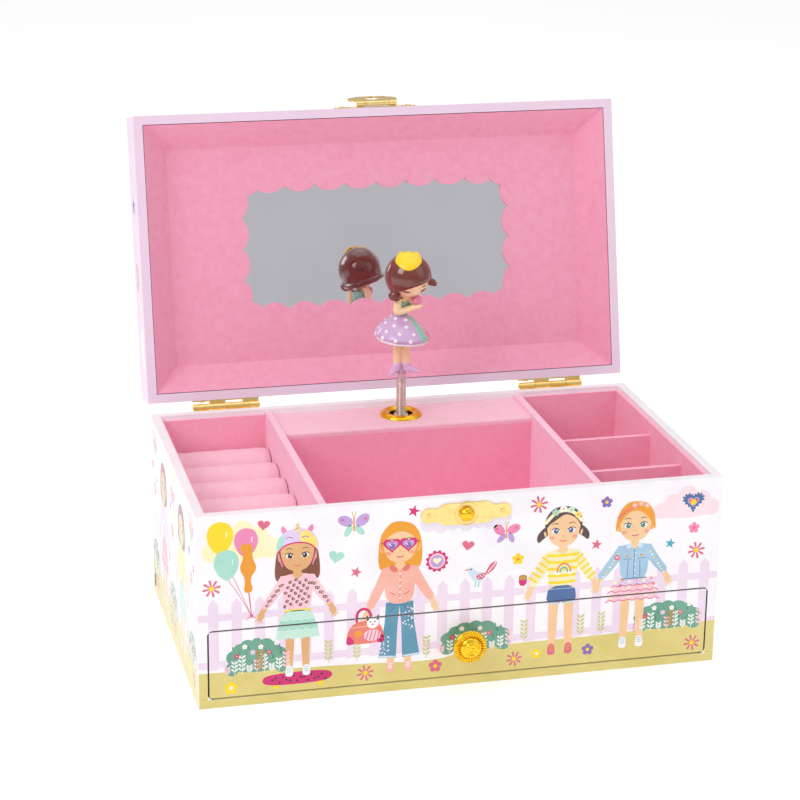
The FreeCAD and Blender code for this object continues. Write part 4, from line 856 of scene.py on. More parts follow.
def front_picture():
    """The front: four dolls in a garden. It runs across the board, and on over the drawer's front."""
    wide = HALF_LONG - 0.4
    pic = Print("front", facing((0, -1, 0), HALF_DEEP),
                (("case", (-wide, 0.3, wide, RIM), OPENING), ("drawer", DRAWER_FACE, None)))
    fence(pic, wide, 7.9)
    ground(pic, [(-wide, 20.2), (-112, 19.8), (-84, 18.4), (-54, 17.6), (-16, 15.4), (-2, 18.6), (14, 21.2),
                 (66, 21), (100, 22), (wide, 24)])
    for bush_at in ((-109.5, 18.6, 32, 19.2), (6.4, 19.4, 38, 17), (112.4, 21.6, 38, 16.4)):
        bush(pic, *bush_at)
    for x, y in ((-72, 20), (-57, 19.5), (-20, 17.5), (33, 21.5), (64, 21.5), (75.5, 22)):
        sprig(pic, x, y, 12.5, "sage", 5)
    cloud(pic, -117, 91, 40, 23, "cream")
    cloud(pic, 120, 93, 37, 19, "haze")
    knot = (-112.1, 50.2)
    balloon(pic, -114.5, 90, 6.3, "pink", knot, 3)
    balloon(pic, -127.7, 93.4, 7.0, "yellow", knot, 4)
    balloon(pic, -124.6, 78.6, 6.6, "mint", knot, 5)
    pic.add("amber", 7, soft([(-118.6, 89.5), (-111, 90.2), (-111.6, 82), (-108.6, 76), (-113, 70.6),
                              (-110.6, 63.4), (-116.2, 62.6), (-114.8, 70.4), (-118.4, 76.6),
                              (-115.4, 82.6)]))
    pic.add("rose", 4, stroke([(-113.2, 62.8), (-112.4, 56), knot], 0.35), disc(*knot, 0.9),
            stroke([(-114.6, 48.2), knot, (-109.8, 48.6)], 0.4))
    helmet_girl(pic)
    glasses_girl(pic)
    bag(pic, -52.6, 28.8)
    striped_girl(pic)
    tutu_girl(pic)
    for x, y, size, turn, ink in ((-105.5, 98.7, 6.4, -8, "rose"), (1.3, 78.5, 6.6, -10, "rose"),
                                  (-68.2, 78.1, 8.2, -14, "mint")):
        pic.add(ink, 4, heart(x, y, size, turn))
    for x, y, size, turn, ink in ((-57.7, 69.2, 3.2, 70, "rose"), (71.2, 73.3, 3.2, 80, "rose"),
                                  (-27.7, 100.2, 3.4, 75, "magenta"), (112.1, 70.5, 3.0, 80, "teal")):
        pic.add(ink, 4, star(x, y, size, turn))
    butterfly(pic, -58.9, 95.5, 16.5, "lilac", "mint", 8)
    butterfly(pic, 21.9, 84.2, 14.5, "pink", "lilac", -12)
    for daisy_at in ((-132.3, 66.8, 4.6), (39.1, 98.4, 4.6), (127.0, 65.4, 4.6), (-52.5, 12.1, 4.4),
                     (27.9, 12.2, 4.2), (127.2, 11.9, 4.4)):
        daisy(pic, *daisy_at)
    for blossom_at in ((28.5, 68.9, 3.3, "yellow", "amber"), (75.9, 96.7, 3.2, "violet", "yellow"),
                       (125.0, 78.3, 3.2, "pink", "rose"), (-123.0, 10.8, 3.6, "yellow", "white"),
                       (40.3, 13.9, 2.9, "yellow", "white"), (-15.0, 12.4, 3.7, "rose", "yellow"),
                       (68.5, 13.6, 3.4, "violet", "yellow")):
        blossom(pic, *blossom_at)
    frill = rayed([5.6 * (0.868 + 0.22 * abs(math.sin(math.pi * i / 8))) for i in range(96)])
    pic.add("magenta", 4, spin(frill, -15, 71.6, 0))
    pic.add("blush", 5, disc(-15, 71.6, 4.3))
    pic.add("lilac", 6, disc(-15, 71.6, 3.4))
    pic.add("cream", 7, heart(-15, 71.5, 4.4))
    pic.add("mist", 3, *[disc(-20 + 6.7 * i, 92.6 - 1.2 * (i % 2), 4.2, 4.6) for i in range(7)])
    bird(pic, 8.4, 61.6)
    x, y, size = 123.9, 92.8, 10.6
    pic.add("navy", 4, *[disc(x + u, y + v, 0.62, None, 0, 12) for u, v in heart_ring(1.06 * size, 22)])
    for ink, share, layer in (("navy", 1.0, 5), ("lilac", 0.62, 6), ("rose", 0.5, 7)):
        pic.add(ink, layer, heart(x, y, size * share))
    pic.add("yellow", 8, petals(x, y + 0.2, 0.17 * size, 6, 0.6))
    pic.build()


def wall_picture(name, place, half, dolls, seed, pale=0.0):
    """A garden picture for a side or the back of the case."""
    wide = half - 0.4
    pic = Print(name, place, (("case", (-wide, 0.3, wide, RIM), None),), pale)
    fence(pic, wide, 6.2)
    chance = random.Random(seed)
    steps = max(4, int(wide / 12))
    ground(pic, [(-wide + 2 * wide * i / steps, 20 + chance.uniform(-1.6, 1.8)) for i in range(steps + 1)])
    inks = ("rose", "pink", "violet", "teal", "yellow", "magenta")
    for x, *looks in dolls:
        plain_doll(pic, x, 12.0, 92.0, *looks)
    gaps = [-wide + 15] + [0.5 * (a[0] + b[0]) for a, b in zip(dolls, dolls[1:])] + [wide - 15]
    for i, x in enumerate(gaps):
        odd = i % 2
        bush(pic, x, 19.6, 24, 17)
        sprig(pic, x - 15, 20, 12, "sage", 5)
        butterfly(pic, x + 2, 92 - 5 * odd, 15, ("lilac", "pink")[odd], ("mint", "lilac")[odd], 10 - 20 * odd)
        pic.add(inks[i % 6], 4, heart(x - 7, 79, 6.2, 12 * (-1) ** i))
        pic.add(inks[(i + 3) % 6], 4, star(x + 6, 74 + 3 * odd, 3.0, 75))
        daisy(pic, x + 3, 11.6, 4.2)
        blossom(pic, x - 9, 12.6, 3.2, inks[(i + 2) % 6])
        daisy(pic, x - 1, 67, 4.0)
        cloud(pic, x + 1, 100, 22, 9, ("blush", "cream")[odd])
    pic.build()


def lid_picture(name, place, wide, tall, seed, rows=1):
    """Clouds, hearts, stars and flowers scattered on a face of the lid."""
    pic = Print(name, place, (("lid", (-wide + 0.4, -tall + 0.4, wide - 0.4, tall - 0.4), None),))
    chance = random.Random(seed)
    pitch = 2 * tall / rows
    reach = min(0.22 * pitch, 8)
    count = max(2, int(2 * wide / (pitch * 1.15)))
    inks = ("rose", "mint", "violet", "yellow", "teal", "magenta")
    for row in range(rows):
        for i in range(count):
            x = -wide + (i + 0.5 + 0.25 * (-1) ** row) * 2 * wide / count
            y = -tall + (row + 0.5) * pitch + chance.uniform(-0.1, 0.1) * pitch
            kind, ink = (i * 2 + row * 3) % 6, inks[(i + row * 2) % 6]
            if abs(x) > wide - reach * 1.6:
                continue
            if kind == 0:
                cloud(pic, x, y, 3.2 * reach, 1.7 * reach, "white")
            elif kind == 1:
                pic.add(ink, 3, heart(x, y, 1.6 * reach, chance.uniform(-20, 20)))
            elif kind == 2:
                butterfly(pic, x, y, 2.4 * reach, "pink", "mint", chance.uniform(-15, 15))
            elif kind == 3:
                daisy(pic, x, y, reach)
            elif kind == 4:
                pic.add(ink, 3, star(x, y, 0.8 * reach, chance.uniform(60, 120), 0.45))
            else:
                blossom(pic, x, y, 0.85 * reach, ink)
    pic.build()


def lid_place():
    """Where the open lid has gone from where it lies closed."""
    hinge = next(j for j in frame["record"]["behaviour"]["joints"] if j["name"] == "lid_hinge")
    pin = Matrix.Translation(hinge["pos_m"])
    return pin @ Matrix.Rotation(-math.radians(LID_ANGLE), 4, "X") @ pin.inverted()


def facing(direction, reach, high=0):
    """A frame whose x runs along a wall, y up it, and z out of it, in the middle of that wall."""
    out = Vector(direction)
    right = Vector((0, 0, 1)).cross(out) if abs(out.z) < 0.5 else Vector((1, 0, 0))
    turn = Matrix((right, out.cross(right), out)).transposed().to_4x4()
    return Matrix.Translation((out * reach + Vector((0, 0, high))) * MM) @ turn


def all_pictures():
    left, right, front, back = (-1, 0, 0), (1, 0, 0), (0, -1, 0), (0, 1, 0)
    front_picture()
    wall_picture("left", facing(left, HALF_LONG), HALF_DEEP,
                 ((-32, "brown", "lavender", "pink", "tan"),
                  (32, "dark", "lemon", "mint", "skin")), 5, SIDE_PALE)
    wall_picture("right", facing(right, HALF_LONG), HALF_DEEP,
                 ((-30, "ginger", "mint", "lilac", "skin"),
                  (33, "brown", "blush", "denim", "tan")), 6, SIDE_PALE)
    wall_picture("back", facing(back, HALF_DEEP), HALF_LONG,
                 ((-84, "dark", "peach", "mint", "tan"), (-30, "ginger", "lavender", "pink", "skin"),
                  (42, "brown", "lemon", "lilac", "tan"), (96, "ginger", "sky", "rose", "skin")), 7)
    opened, tall = lid_place(), LID_TALL / 2
    lid_picture("lid_top", opened @ facing((0, 0, 1), CASE_TOP + LID_TALL), HALF_LONG, HALF_DEEP, 11, 4)
    walls = ("front", front), ("rear", back), ("left", left), ("right", right)
    for seed, (name, way) in enumerate(walls, 12):
        reach, wide = (HALF_LONG, HALF_DEEP) if way[0] else (HALF_DEEP, HALF_LONG)
        lid_picture("lid_" + name, opened @ facing(way, reach, CASE_TOP + tall), wide, tall, seed)


# ---------------------------------------------------------------- rounded pieces

X, Y, Z = Vector((1, 0, 0)), Vector((0, 1, 0)), Vector((0, 0, 1))


def polar(reach, angle, high=0.0):
    """A point at a reach and an angle round z."""
    return Vector((reach * math.cos(angle), reach * math.sin(angle), high))


def quads(rings, sides, closed=False):
    """Faces between stacked rings of points. In a closed stack the last ring joins the first."""
    faces = []
    for i in range(rings if closed else rings - 1):
        a, b = i * sides, (i + 1) % rings * sides
        faces += [[a + j, b + j, b + (j + 1) % sides, a + (j + 1) % sides] for j in range(sides)]
    return faces


def close_rings(verts, rings, sides, first, last):
    """Stacked rings of points, closed with a point at each end."""
    faces, top, base = quads(rings, sides), len(verts), (rings - 1) * sides
    for j in range(sides):
        k = (j + 1) % sides
        faces += [[top, j, k], [top + 1, base + k, base + j]]
    return verts + [first, last], faces


def capped(verts, rings, sides):
    """Stacked rings of points, with a flat face at each end."""
    caps = [list(range(sides))[::-1], [(rings - 1) * sides + j for j in range(sides)]]
    return verts, [face[:1] + face[:0:-1] for face in quads(rings, sides)] + caps


def ball(centre, radii, axis=Z, rings=20, sides=32):
    """An ellipsoid with its third radius along an axis, in mm."""
    turn, centre = Vector(axis).to_track_quat("Z", "Y").to_matrix(), Vector(centre)
    verts = []
    for i in range(1, rings):
        a = math.pi * i / rings
        wide, deep, high = radii[0] * math.sin(a), radii[1] * math.sin(a), radii[2] * math.cos(a)
        verts += [centre + turn @ Vector((wide * math.cos(b), deep * math.sin(b), high))
                  for b in turns(sides)]
    end = turn @ Z * radii[2]
    return close_rings(verts, rings - 1, sides, centre + end, centre - end)


def smooth_path(points, count):
    """Points along a soft curve through the given ones."""
    spots = [Vector(p) for p in points]
    ends = [2 * spots[0] - spots[1]] + spots + [2 * spots[-1] - spots[-2]]
    path = []
    for i in range(len(spots) - 1):
        a, b, c, d = ends[i:i + 4]
        for t in [k / count for k in range(count)]:
            path.append(0.5 * (2 * b + (c - a) * t + (2 * a - 5 * b + 4 * c - d) * t * t
                               + (3 * b - a - 3 * c + d) * t ** 3))
    return path + [spots[-1]]


def tube(points, radii, sides=14, count=6):
    """A round limb through points, its radius going evenly through the given radii, with rounded ends."""
    path = smooth_path(points, count)
    verts, total, side = [], len(path) - 1, Vector((0.3, 0.5, 0.81))
    for i, here in enumerate(path):
        along = (path[min(i + 1, total)] - path[max(i - 1, 0)]).normalized()
        side = (side - along * side.dot(along)).normalized()
        place = i / total * (len(radii) - 1)
        low = min(int(place), len(radii) - 2)
        reach = radii[low] + (radii[low + 1] - radii[low]) * (place - low)
        verts += [here + reach * (math.cos(a) * side + math.sin(a) * along.cross(side)) for a in turns(sides)]
    first = path[0] - (path[1] - path[0]).normalized() * radii[0] * 0.55
    last = path[-1] + (path[-1] - path[-2]).normalized() * radii[-1] * 0.55
    return close_rings(verts, len(path), sides, first, last)


def lathe(profile, place, sides):
    """A turned solid: (radius, height) points from axis to axis, turned about the place's z."""
    verts = [place @ polar(reach, a, high) for reach, high in profile[1:-1] for a in turns(sides)]
    ends = [place @ (Z * profile[end][1]) for end in (0, -1)]
    return close_rings(verts, len(profile) - 2, sides, *ends)


def solid(name, parts, material, body, slot, fuse=0.0, soften=0, finer=0):
    """A piece made of solids in mm. It can be fused to one skin, softened, and subdivided."""
    verts, faces = [], []
    for part_verts, part_faces in parts:
        faces += [[i + len(verts) for i in face] for face in part_faces]
        verts += [v * MM for v in part_verts]
    made = mesh_object(name, verts, faces, material, True)
    if fuse:
        made.modifiers.new("fuse", "REMESH").voxel_size = fuse * MM
    if soften:
        made.modifiers.new("soften", "SMOOTH").iterations = soften
    if finer:
        made.modifiers.new("finer", "SUBSURF").levels = finer
    if made.modifiers:
        bpy.context.view_layer.update()
        mesh = bpy.data.meshes.new_from_object(made.evaluated_get(bpy.context.evaluated_depsgraph_get()))
        made.modifiers.clear()
        made.data = mesh
        mesh.polygons.foreach_set("use_smooth", [True] * len(mesh.polygons))
    if body:
        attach(made, body)
    return made


def box_mm(node):
    """A node's lowest and highest corners in mm."""
    return [Vector(corner) * 1000 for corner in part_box(node)]


# ---------------------------------------------------------------- dancer

SKIN = plastic("painted_skin", "FFE7B8", "FFDDA8", 0.34, Coat_Weight=0.25)
HAIR = plastic("painted_hair", "762C15", "662411", 0.16, Coat_Weight=0.8, Coat_Roughness=0.08)
CROWN = plastic("painted_crown", "FFDC08", "FBD000", 0.28, Coat_Weight=0.3)
SKIRT = plastic("painted_skirt", "DAB8DE", "D0AAD6", 0.22, Coat_Weight=0.4)
DANCE_WHITE = plastic("painted_white", "FDF6FB", "F6ECF4", 0.28, Coat_Weight=0.3)
DANCE_MINT = plastic("painted_mint", "96D2BA", "89C8AE", 0.26, Coat_Weight=0.3)
DANCE_PINK = plastic("painted_pink", "F08CA8", "E97F9C", 0.26, Coat_Weight=0.3)
SHOE = plastic("painted_shoe", "EAC8EA", "E2BAE3", 0.22, Coat_Weight=0.4)
BLUSH = plastic("painted_blush", "FBC3B0", "F8B8A6", 0.36)
LASH = plastic("painted_lash", "7A3A22", "6C311C", 0.4)

DANCER = Vector((0, 60, 0))
HEAD = Vector((2.7, 57.6, 185.0))
FACE = Vector((0.17, -0.82, -0.55)).normalized()
FACE_RIGHT = FACE.cross(Z).normalized()
FACE_UP = FACE_RIGHT.cross(FACE)
SKIN_R, HAIR_R, HAIR_EDGE = 12.0, 13.2, 55.0
UNDER_HAIR = SKIN_R - 1.6
HAIR_OPEN = Vector((0.27, -0.25, -0.93)).normalized()
FRINGE = (FACE - HAIR_OPEN * FACE.dot(HAIR_OPEN)).normalized()
BESIDE_FRINGE = HAIR_OPEN.cross(FRINGE)
SKIRT_LOW, SKIRT_TOP, SKIRT_R, SKIRT_LEAN, HEM_Z = 150.4, 164.4, 15.7, 0.08, 148.3


def on_head(right, up, lift=0.0):
    """A point on the head, by angles from the face's middle in degrees, lifted off its skin."""
    a, b = math.radians(right), math.radians(up)
    out = FACE * math.cos(a) * math.cos(b) + FACE_RIGHT * math.sin(a) * math.cos(b) + FACE_UP * math.sin(b)
    return HEAD + out * (SKIN_R + lift)


def on_hair(polar_angle, around, reach):
    """A point on the hair, by degrees from the middle of its opening and round from the fringe."""
    a, b = math.radians(polar_angle), math.radians(around)
    out = FRINGE * math.cos(b) + BESIDE_FRINGE * math.sin(b)
    return HEAD + reach * (HAIR_OPEN * math.cos(a) + out * math.sin(a))


def hair_shell():
    """Smooth bobbed hair: a full cap that stops at a fringe and a nape, its edge a thick soft lip."""
    rings, sides = 64, 72
    verts = []
    for i in range(1, rings):
        past = 180 * i / rings - HAIR_EDGE
        step = min(1, max(0, past / 8))
        lip = math.exp(-((past - 11) / 8) ** 2)
        reach = UNDER_HAIR + (HAIR_R - UNDER_HAIR) * step * step * (3 - 2 * step) + 0.35 * lip
        verts += [on_hair(past + HAIR_EDGE, 360 * j / sides, reach) for j in range(sides)]
    return close_rings(verts, rings - 1, sides, HEAD + HAIR_OPEN * UNDER_HAIR, HEAD - HAIR_OPEN * HAIR_R)


def crown_plate():
    """A small crown with three soft points, lying on the hair."""
    out = Vector((-0.13, -0.53, 0.84)).normalized()
    right = Vector((0.97, -0.24, 0))
    right = (right - out * right.dot(out)).normalized()
    up = out.cross(right)
    outline = soft(twin([(0, -8.2), (4.6, -6.0), (8.2, -1.4), (8.8, 1.2), (6.2, 7.4), (5.0, 8.4), (3.4, 5.8),
                         (1.7, 5.8), (0, 7.4)]), 2)
    levels = ((0.3, 1.25), (0.55, 1.2), (0.75, 1.15), (0.9, 1.0), (0.97, 0.7), (1.0, 0.2), (1.0, -0.7),
              (0.7, -0.9), (0.4, -0.9))
    verts = []
    for share, lift in levels:
        for u, v in outline:
            spot = out * HAIR_R + (right * u + up * v) * share
            verts.append(HEAD + spot.normalized() * (HAIR_R + lift + 0.1225 * max(0, v * share)))
    ends = [HEAD + out * (HAIR_R + lift) for lift in (1.25, -0.9)]
    return close_rings(verts, len(levels), len(outline), *ends)


def skirt_point(heading, high, proud=0.0):
    """A point on the bell skirt, by its heading from the front and its height."""
    share = min(0.999, abs((high - SKIRT_LOW) / (SKIRT_TOP - SKIRT_LOW if high > SKIRT_LOW else 9.0)))
    reach = SKIRT_R * (1 - share ** 1.35) ** 0.85 * (1 + 0.012 * math.sin(math.radians(9 * heading))) + proud
    a = math.radians(heading)
    right = reach * math.sin(a)
    return DANCER + Vector((right, -reach * math.cos(a), high - SKIRT_LEAN * right))


def skirt_patch(first, last, proud=0.28, low=148.9, high=162.6, steps=14, across=8):
    """A raised panel on the skirt between two headings, closed at the back."""
    verts = [skirt_point(first + (last - first) * j / across, low + (high - low) * i / steps,
                         lift if 0 < i < steps and 0 < j < across else -0.3)
             for lift in (proud, -0.6) for i in range(steps + 1) for j in range(across + 1)]
    wide, faces = across + 1, []
    half = wide * (steps + 1)
    for i in range(steps):
        for a in range(i * wide, i * wide + across):
            ring = [a, a + 1, a + wide + 1, a + wide]
            faces += [ring, [half + a, half + a + wide, half + a + wide + 1, half + a + 1]]
    rim = list(range(wide)) + [i * wide + across for i in range(1, steps + 1)]
    rim += [steps * wide + j for j in range(across - 1, -1, -1)] + [i * wide for i in range(steps - 1, 0, -1)]
    faces += [[b, a, half + a, half + b] for a, b in zip(rim, rim[1:] + rim[:1])]
    return verts, faces


def dancer_piece(name, parts, material, *shaping):
    return solid("dancer_" + name, parts, material, "dancer", "painted_figure", *shaping)


def add_body(ahead, beside, waist, hands):
    """Head, neck, arms and legs in one skin."""
    skin = [ball(HEAD, (SKIN_R, SKIN_R * 0.98, SKIN_R)),
            ball(on_head(0, -9, -0.1), (0.8, 0.8, 0.8), rings=10, sides=14),
            tube([waist + Z * 5, HEAD - Vector((0.2, 1.5, 9))], (2.4, 2.6))]
    for side, lift in ((-1, 0.0), (1, 0.5)):
        out = beside * side
        shoulder = waist + out * 4.4 + Z * 8
        elbow = waist + out * 6 + ahead * 0.8 + Z * (1.4 + lift)
        arm = [shoulder, (shoulder + elbow) * 0.5 + out * 0.8, elbow, elbow * 0.45 + hands * 0.55 - Z * 0.4,
               hands + out * 0.9]
        skin.append(tube(arm, (2.1, 2.3, 2.2, 1.9, 1.6)))
        skin.append(ball(hands + out * 0.9 + ahead * 0.8, (1.5, 1.5, 2.1), ahead, 12, 18))
        leg = DANCER + Vector((side * 2.5, -side * 0.5, 0))
        skin.append(tube([leg + Z * z for z in (150, 142, 133.5)], (2.9, 2.5, 2.1)))
    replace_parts(dancer_piece("skin", skin, SKIN, 0.34, 4), "dancer_figure")


def add_head_dress():
    """Hair with its flip and curls, crown, lashes, brows, mouth and cheeks."""
    flip = [on_hair(HAIR_EDGE + 3, 82 + 14 * k, HAIR_R + 0.9) for k in range(15)]
    hair = [hair_shell(), tube(flip, (1.5, 1.7, 1.9, 1.7, 1.5), 14, 3)]
    for past, around, lift, wide, deep in ((2, 282, 0.4, 2.4, 2.1), (0, 286, 2.0, 1.5, 1.4),
                                           (1, 80, 0.4, 3.6, 3.2), (-3, 72, 1.4, 2.4, 2.2)):
        hair.append(ball(on_hair(HAIR_EDGE + past, around, HAIR_R + lift), (wide, wide, deep)))
    dancer_piece("hair", hair, HAIR, 0.36, 5)
    dancer_piece("crown", [crown_plate()], CROWN, 0, 0, 1)

    lashes = []
    for x in (-25, 25):
        eye = [on_head(x + u, -4.5 + 0.035 * u * u, 0.06) for u in (-9, -5, 0, 5, 9)]
        lashes.append(tube(eye, (0.16, 0.3, 0.32, 0.3, 0.16), 8, 4))
        for u in (-7.5, -3, 3, 7.5):
            lash = [on_head(x + u, -4.3 + 0.035 * u * u, 0.05),
                    on_head(x + u * 1.35, -8.6 + 0.05 * u * u, 0.05)]
            lashes.append(tube(lash, (0.18, 0.08), 6, 2))
        brow = [on_head(x + u, 12 - 0.03 * u * u, 0.04) for u in (-7, 0, 7)]
        lashes.append(tube(brow, (0.14, 0.24, 0.12), 8, 4))
    dancer_piece("lashes", lashes, LASH)
    blush = [tube([on_head(u, -24 + 0.10 * u * u, 0.02) for u in (-4, 0, 4)], (0.18, 0.3, 0.18), 8, 4)]
    for x in (-36, 36):
        cheek = on_head(x, -14, -0.22)
        blush.append(ball(cheek, (1.9, 1.9, 0.42), cheek - HEAD, 8, 18))
    dancer_piece("blush", blush, BLUSH)


def add_dress():
    """The bell skirt with its frilled hem, dots and panels."""
    levels, sides, top, hem_low = 22, 108, SKIRT_TOP - 0.5, 148.2
    verts = []
    for high in [top - (top - hem_low) * i / (levels - 1) for i in range(levels)]:
        verts += [skirt_point(360 * j / sides, high) for j in range(sides)]
    for share in (0.85, 0.5):
        verts += [DANCER + polar(SKIRT_R * share, a, 148.6) for a in turns(sides, -math.pi / 2)]
    bell = close_rings(verts, levels + 2, sides, DANCER + Z * SKIRT_TOP, DANCER + Z * 148.8)
    dancer_piece("skirt", [bell], SKIRT)
    hem = []
    for j in range(120):
        spot = skirt_point(3 * j, HEM_Z, 0.1)
        out = Vector((spot.x, spot.y - DANCER.y, 0)).normalized()
        low = spot - Z * 0.42 * abs(math.sin(math.pi * j / 4))
        hem += [low + out * 0.62 * math.cos(a) + Z * 0.75 * math.sin(a) for a in turns(10)]
    dancer_piece("hem", [(hem, quads(120, 10, True))], DANCE_WHITE)
    dots = []
    for high, count, shift in ((150.6, 9, 3.2), (154.0, 8, 16), (157.4, 7, 3.2), (160.6, 5, 16)):
        for j in range(count):
            spot = skirt_point(95 + shift + 282 * (j + 0.5) / count, high, -0.16)
            dots.append(ball(spot, (1.25, 1.25, 0.4), spot - DANCER - Z * (high - 5), 8, 16))
    dancer_piece("dots", dots, DANCE_WHITE)
    dancer_piece("sash", [skirt_patch(30, 54), skirt_patch(82, 106)], DANCE_MINT)
    dancer_piece("panel", [skirt_patch(53.5, 82.5, 0.2)], DANCE_PINK)


def add_dancer():
    """The dancer: a painted doll on tiptoe, head bowed, with a crown and a dotted bell skirt."""
    ahead, beside = Vector((0.72, -0.69, 0)).normalized(), Vector((0.69, 0.72, 0)).normalized()
    waist = DANCER + Z * 164
    hands = waist + ahead * 9.6 + Z * 4.6
    add_body(ahead, beside, waist, hands)
    add_head_dress()
    bodice = tube([waist - Z, waist + Z * 3, waist + Z * 6.4], (3.6, 4.2, 4.0), 24)
    dancer_piece("bodice", [bodice], DANCE_MINT, 0, 2, 1)
    bunch = []
    for a in (0.4, 1.7, 3.0, 4.3, 5.5):
        bud = hands + ahead * 0.2 + beside * 1.9 * math.cos(a) + Z * (3.0 + 1.5 * math.sin(a))
        bunch.append(ball(bud, (1.9, 1.9, 1.6), ahead, 10, 16))
    stem = [hands - Z * 0.4, hands - ahead * 2 + Z * 3.4, hands - ahead * 4.2 + Z * 3.2]
    bunch.append(tube(stem, (1.0, 1.6, 0.8)))
    dancer_piece("flowers", bunch, DANCE_PINK, 0.3, 2)
    add_dress()
    shoes = []
    for side in BOTH:
        ankle = DANCER + Vector((side * 2.5, -side * 0.5, 0))
        toe = DANCER + Vector((side * 8.8 + 1.3, -3.4, 128.3 + 0.6 * side))
        heel, arch = ankle + Vector((-side * 0.4, 1.6, 129.4)), ankle + Vector((side * 0.9, -0.5, 130.6))
        shoes += [tube([heel, arch, toe], (2.1, 2.5, 0.9), 18), ball(ankle + Z * 132.6, (2.45, 2.5, 2.4))]
    dancer_piece("shoes", shoes, SHOE, 0.3, 4)


# ---------------------------------------------------------------- hardware


def add_spring():
    """The close-wound spring that carries the dancer."""
    spring_r, wire, low, high, steps, sides = 2.46, 0.36, 101.4, 125.0, 24, 8
    count = 34 * steps
    verts = []
    for i in range(count + 1):
        a = 2 * math.pi * i / steps
        centre = DANCER + Z * (low + (high - low) * i / count)
        verts += [centre + polar(spring_r + wire * math.cos(b), a, wire * math.sin(b)) for b in turns(sides)]
    ends = DANCER + Vector((spring_r, -0.4, low)), DANCER + Vector((spring_r, 0.4, high))
    coil = close_rings(verts, count + 1, sides, *ends)
    piece = solid("spring_coil", [coil], SPRING_STEEL, None, "bright_steel")
    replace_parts(piece, "dancer_spring")
    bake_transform(piece)


def spiral(place, outer, winds, wire, steps=26):
    """A scroll of wire lying in the place's own plane, thinning towards its middle."""
    last = winds * steps
    points = [place @ polar(outer * (1 - i / last) ** 0.8 + 0.25, 2 * math.pi * i / steps)
              for i in range(int(last) + 1)]
    return tube(points, (wire, wire * 0.8), 10, 1)


def ring_bead(place, reach, wire, sides=72, around=12):
    """A round bead bent to a ring in the place's own plane."""
    verts = [place @ polar(reach + wire * math.cos(b), a, wire * math.sin(b))
             for a in turns(sides) for b in turns(around)]
    return verts, quads(sides, around, True)


def on_front(x, y, z):
    """A frame with z out of the front, x to the right and y up, its origin in mm."""
    return Matrix.Translation((x, y, z)) @ Matrix.Rotation(math.pi / 2, 4, "X")


def add_knob():
    """The drawer's knob: a cast rosette with a beaded rim, two rings and a scroll."""
    low, high = box_mm("drawer_knob")
    place = on_front((low.x + high.x) / 2, low.y, (low.z + high.z) / 2)
    profile = [(0, -0.3), (2.6, -0.35), (4.4, -0.7), (5.5, -1.4), (5.8, -2.4), (6.0, -3.3), (6.5, -3.2),
               (7.6, -2.9), (8.5, -3.3), (9.0, -4.1), (8.7, -4.9), (7.4, -5.6), (5.2, -6.6), (3.8, -8.2),
               (3.6, -10.2), (4.4, -11.6), (4.6, -12.0), (0, -12.0)]
    parts = [lathe(profile, place, 72)]
    for reach, height, count, lean in ((6.75, -2.75, 30, 0.5), (8.05, -2.9, 34, -0.5)):
        for a in turns(count):
            spot = place @ Matrix.Translation(polar(reach, a, height)) @ Matrix.Rotation(a + lean, 4, "Z")
            verts, faces = ball((0, 0, 0), (0.72, 0.42, 0.55), rings=8, sides=12)
            parts.append(([spot @ v for v in verts], faces))
    parts.append(spiral(place @ Matrix.Translation((0, 0, -0.42)), 4.3, 2.3, 0.5))
    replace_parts(solid("knob_rosette", parts, GOLD, "drawer", "gold_metal"), "drawer_knob")


def add_latch_relief():
    """Pressed rings and dots on the latch plate, and its turned stud with a scroll."""
    low, high = box_mm("latch_plate")
    z = (low.z + high.z) / 2
    face = on_front(0, low.y, z)
    marks = [ring_bead(face @ Matrix.Translation((0, 0, -sunk)), reach, wire)
             for sunk, reach, wire in ((0.12, 6.2, 0.32), (0.14, 4.5, 0.24))]
    for u, v in ((9.5, 2.6), (13.2, 3.4)):
        for spot in [Vector((side * u, up * v, -0.1)) for side in BOTH for up in BOTH]:
            marks.append(ball(face @ spot, (0.55, 0.3, 0.55), rings=8, sides=12))
    solid("latch_pressing", marks, GOLD_PALE, "case", "gold_metal")
    tip = on_front(0, box_mm("latch_stud")[0].y, z)
    profile = [(0, -0.35), (1.4, -0.4), (2.6, -0.8), (3.5, -1.5), (3.85, -2.5), (3.8, -3.3), (3.4, -4.0),
               (0, -4.2)]
    boss = lathe(profile, tip, 56)
    scroll = spiral(tip @ Matrix.Translation((0, 0, -0.62)), 2.5, 1.6, 0.42)
    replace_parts(solid("latch_boss", [boss, scroll], GOLD, "case", "gold_metal"), "latch_stud")


def add_corner_staple():
    """A wire staple in the left side board, low at its rear edge, that holds the paper's turn-in."""
    low, high = box_mm("left_side_board")
    corner = Vector((low.x, high.y - 3.5, low.z + 9))
    legs = ((1.0, -3.6), (-0.35, -3.4), (-0.35, 0), (-0.35, 3.4), (1.0, 3.6))
    path = [corner + X * x + Z * z for x, z in legs]
    solid("corner_staple", [tube(path, (0.4, 0.4), 12, 3)], STEEL, "case", "bright_steel")
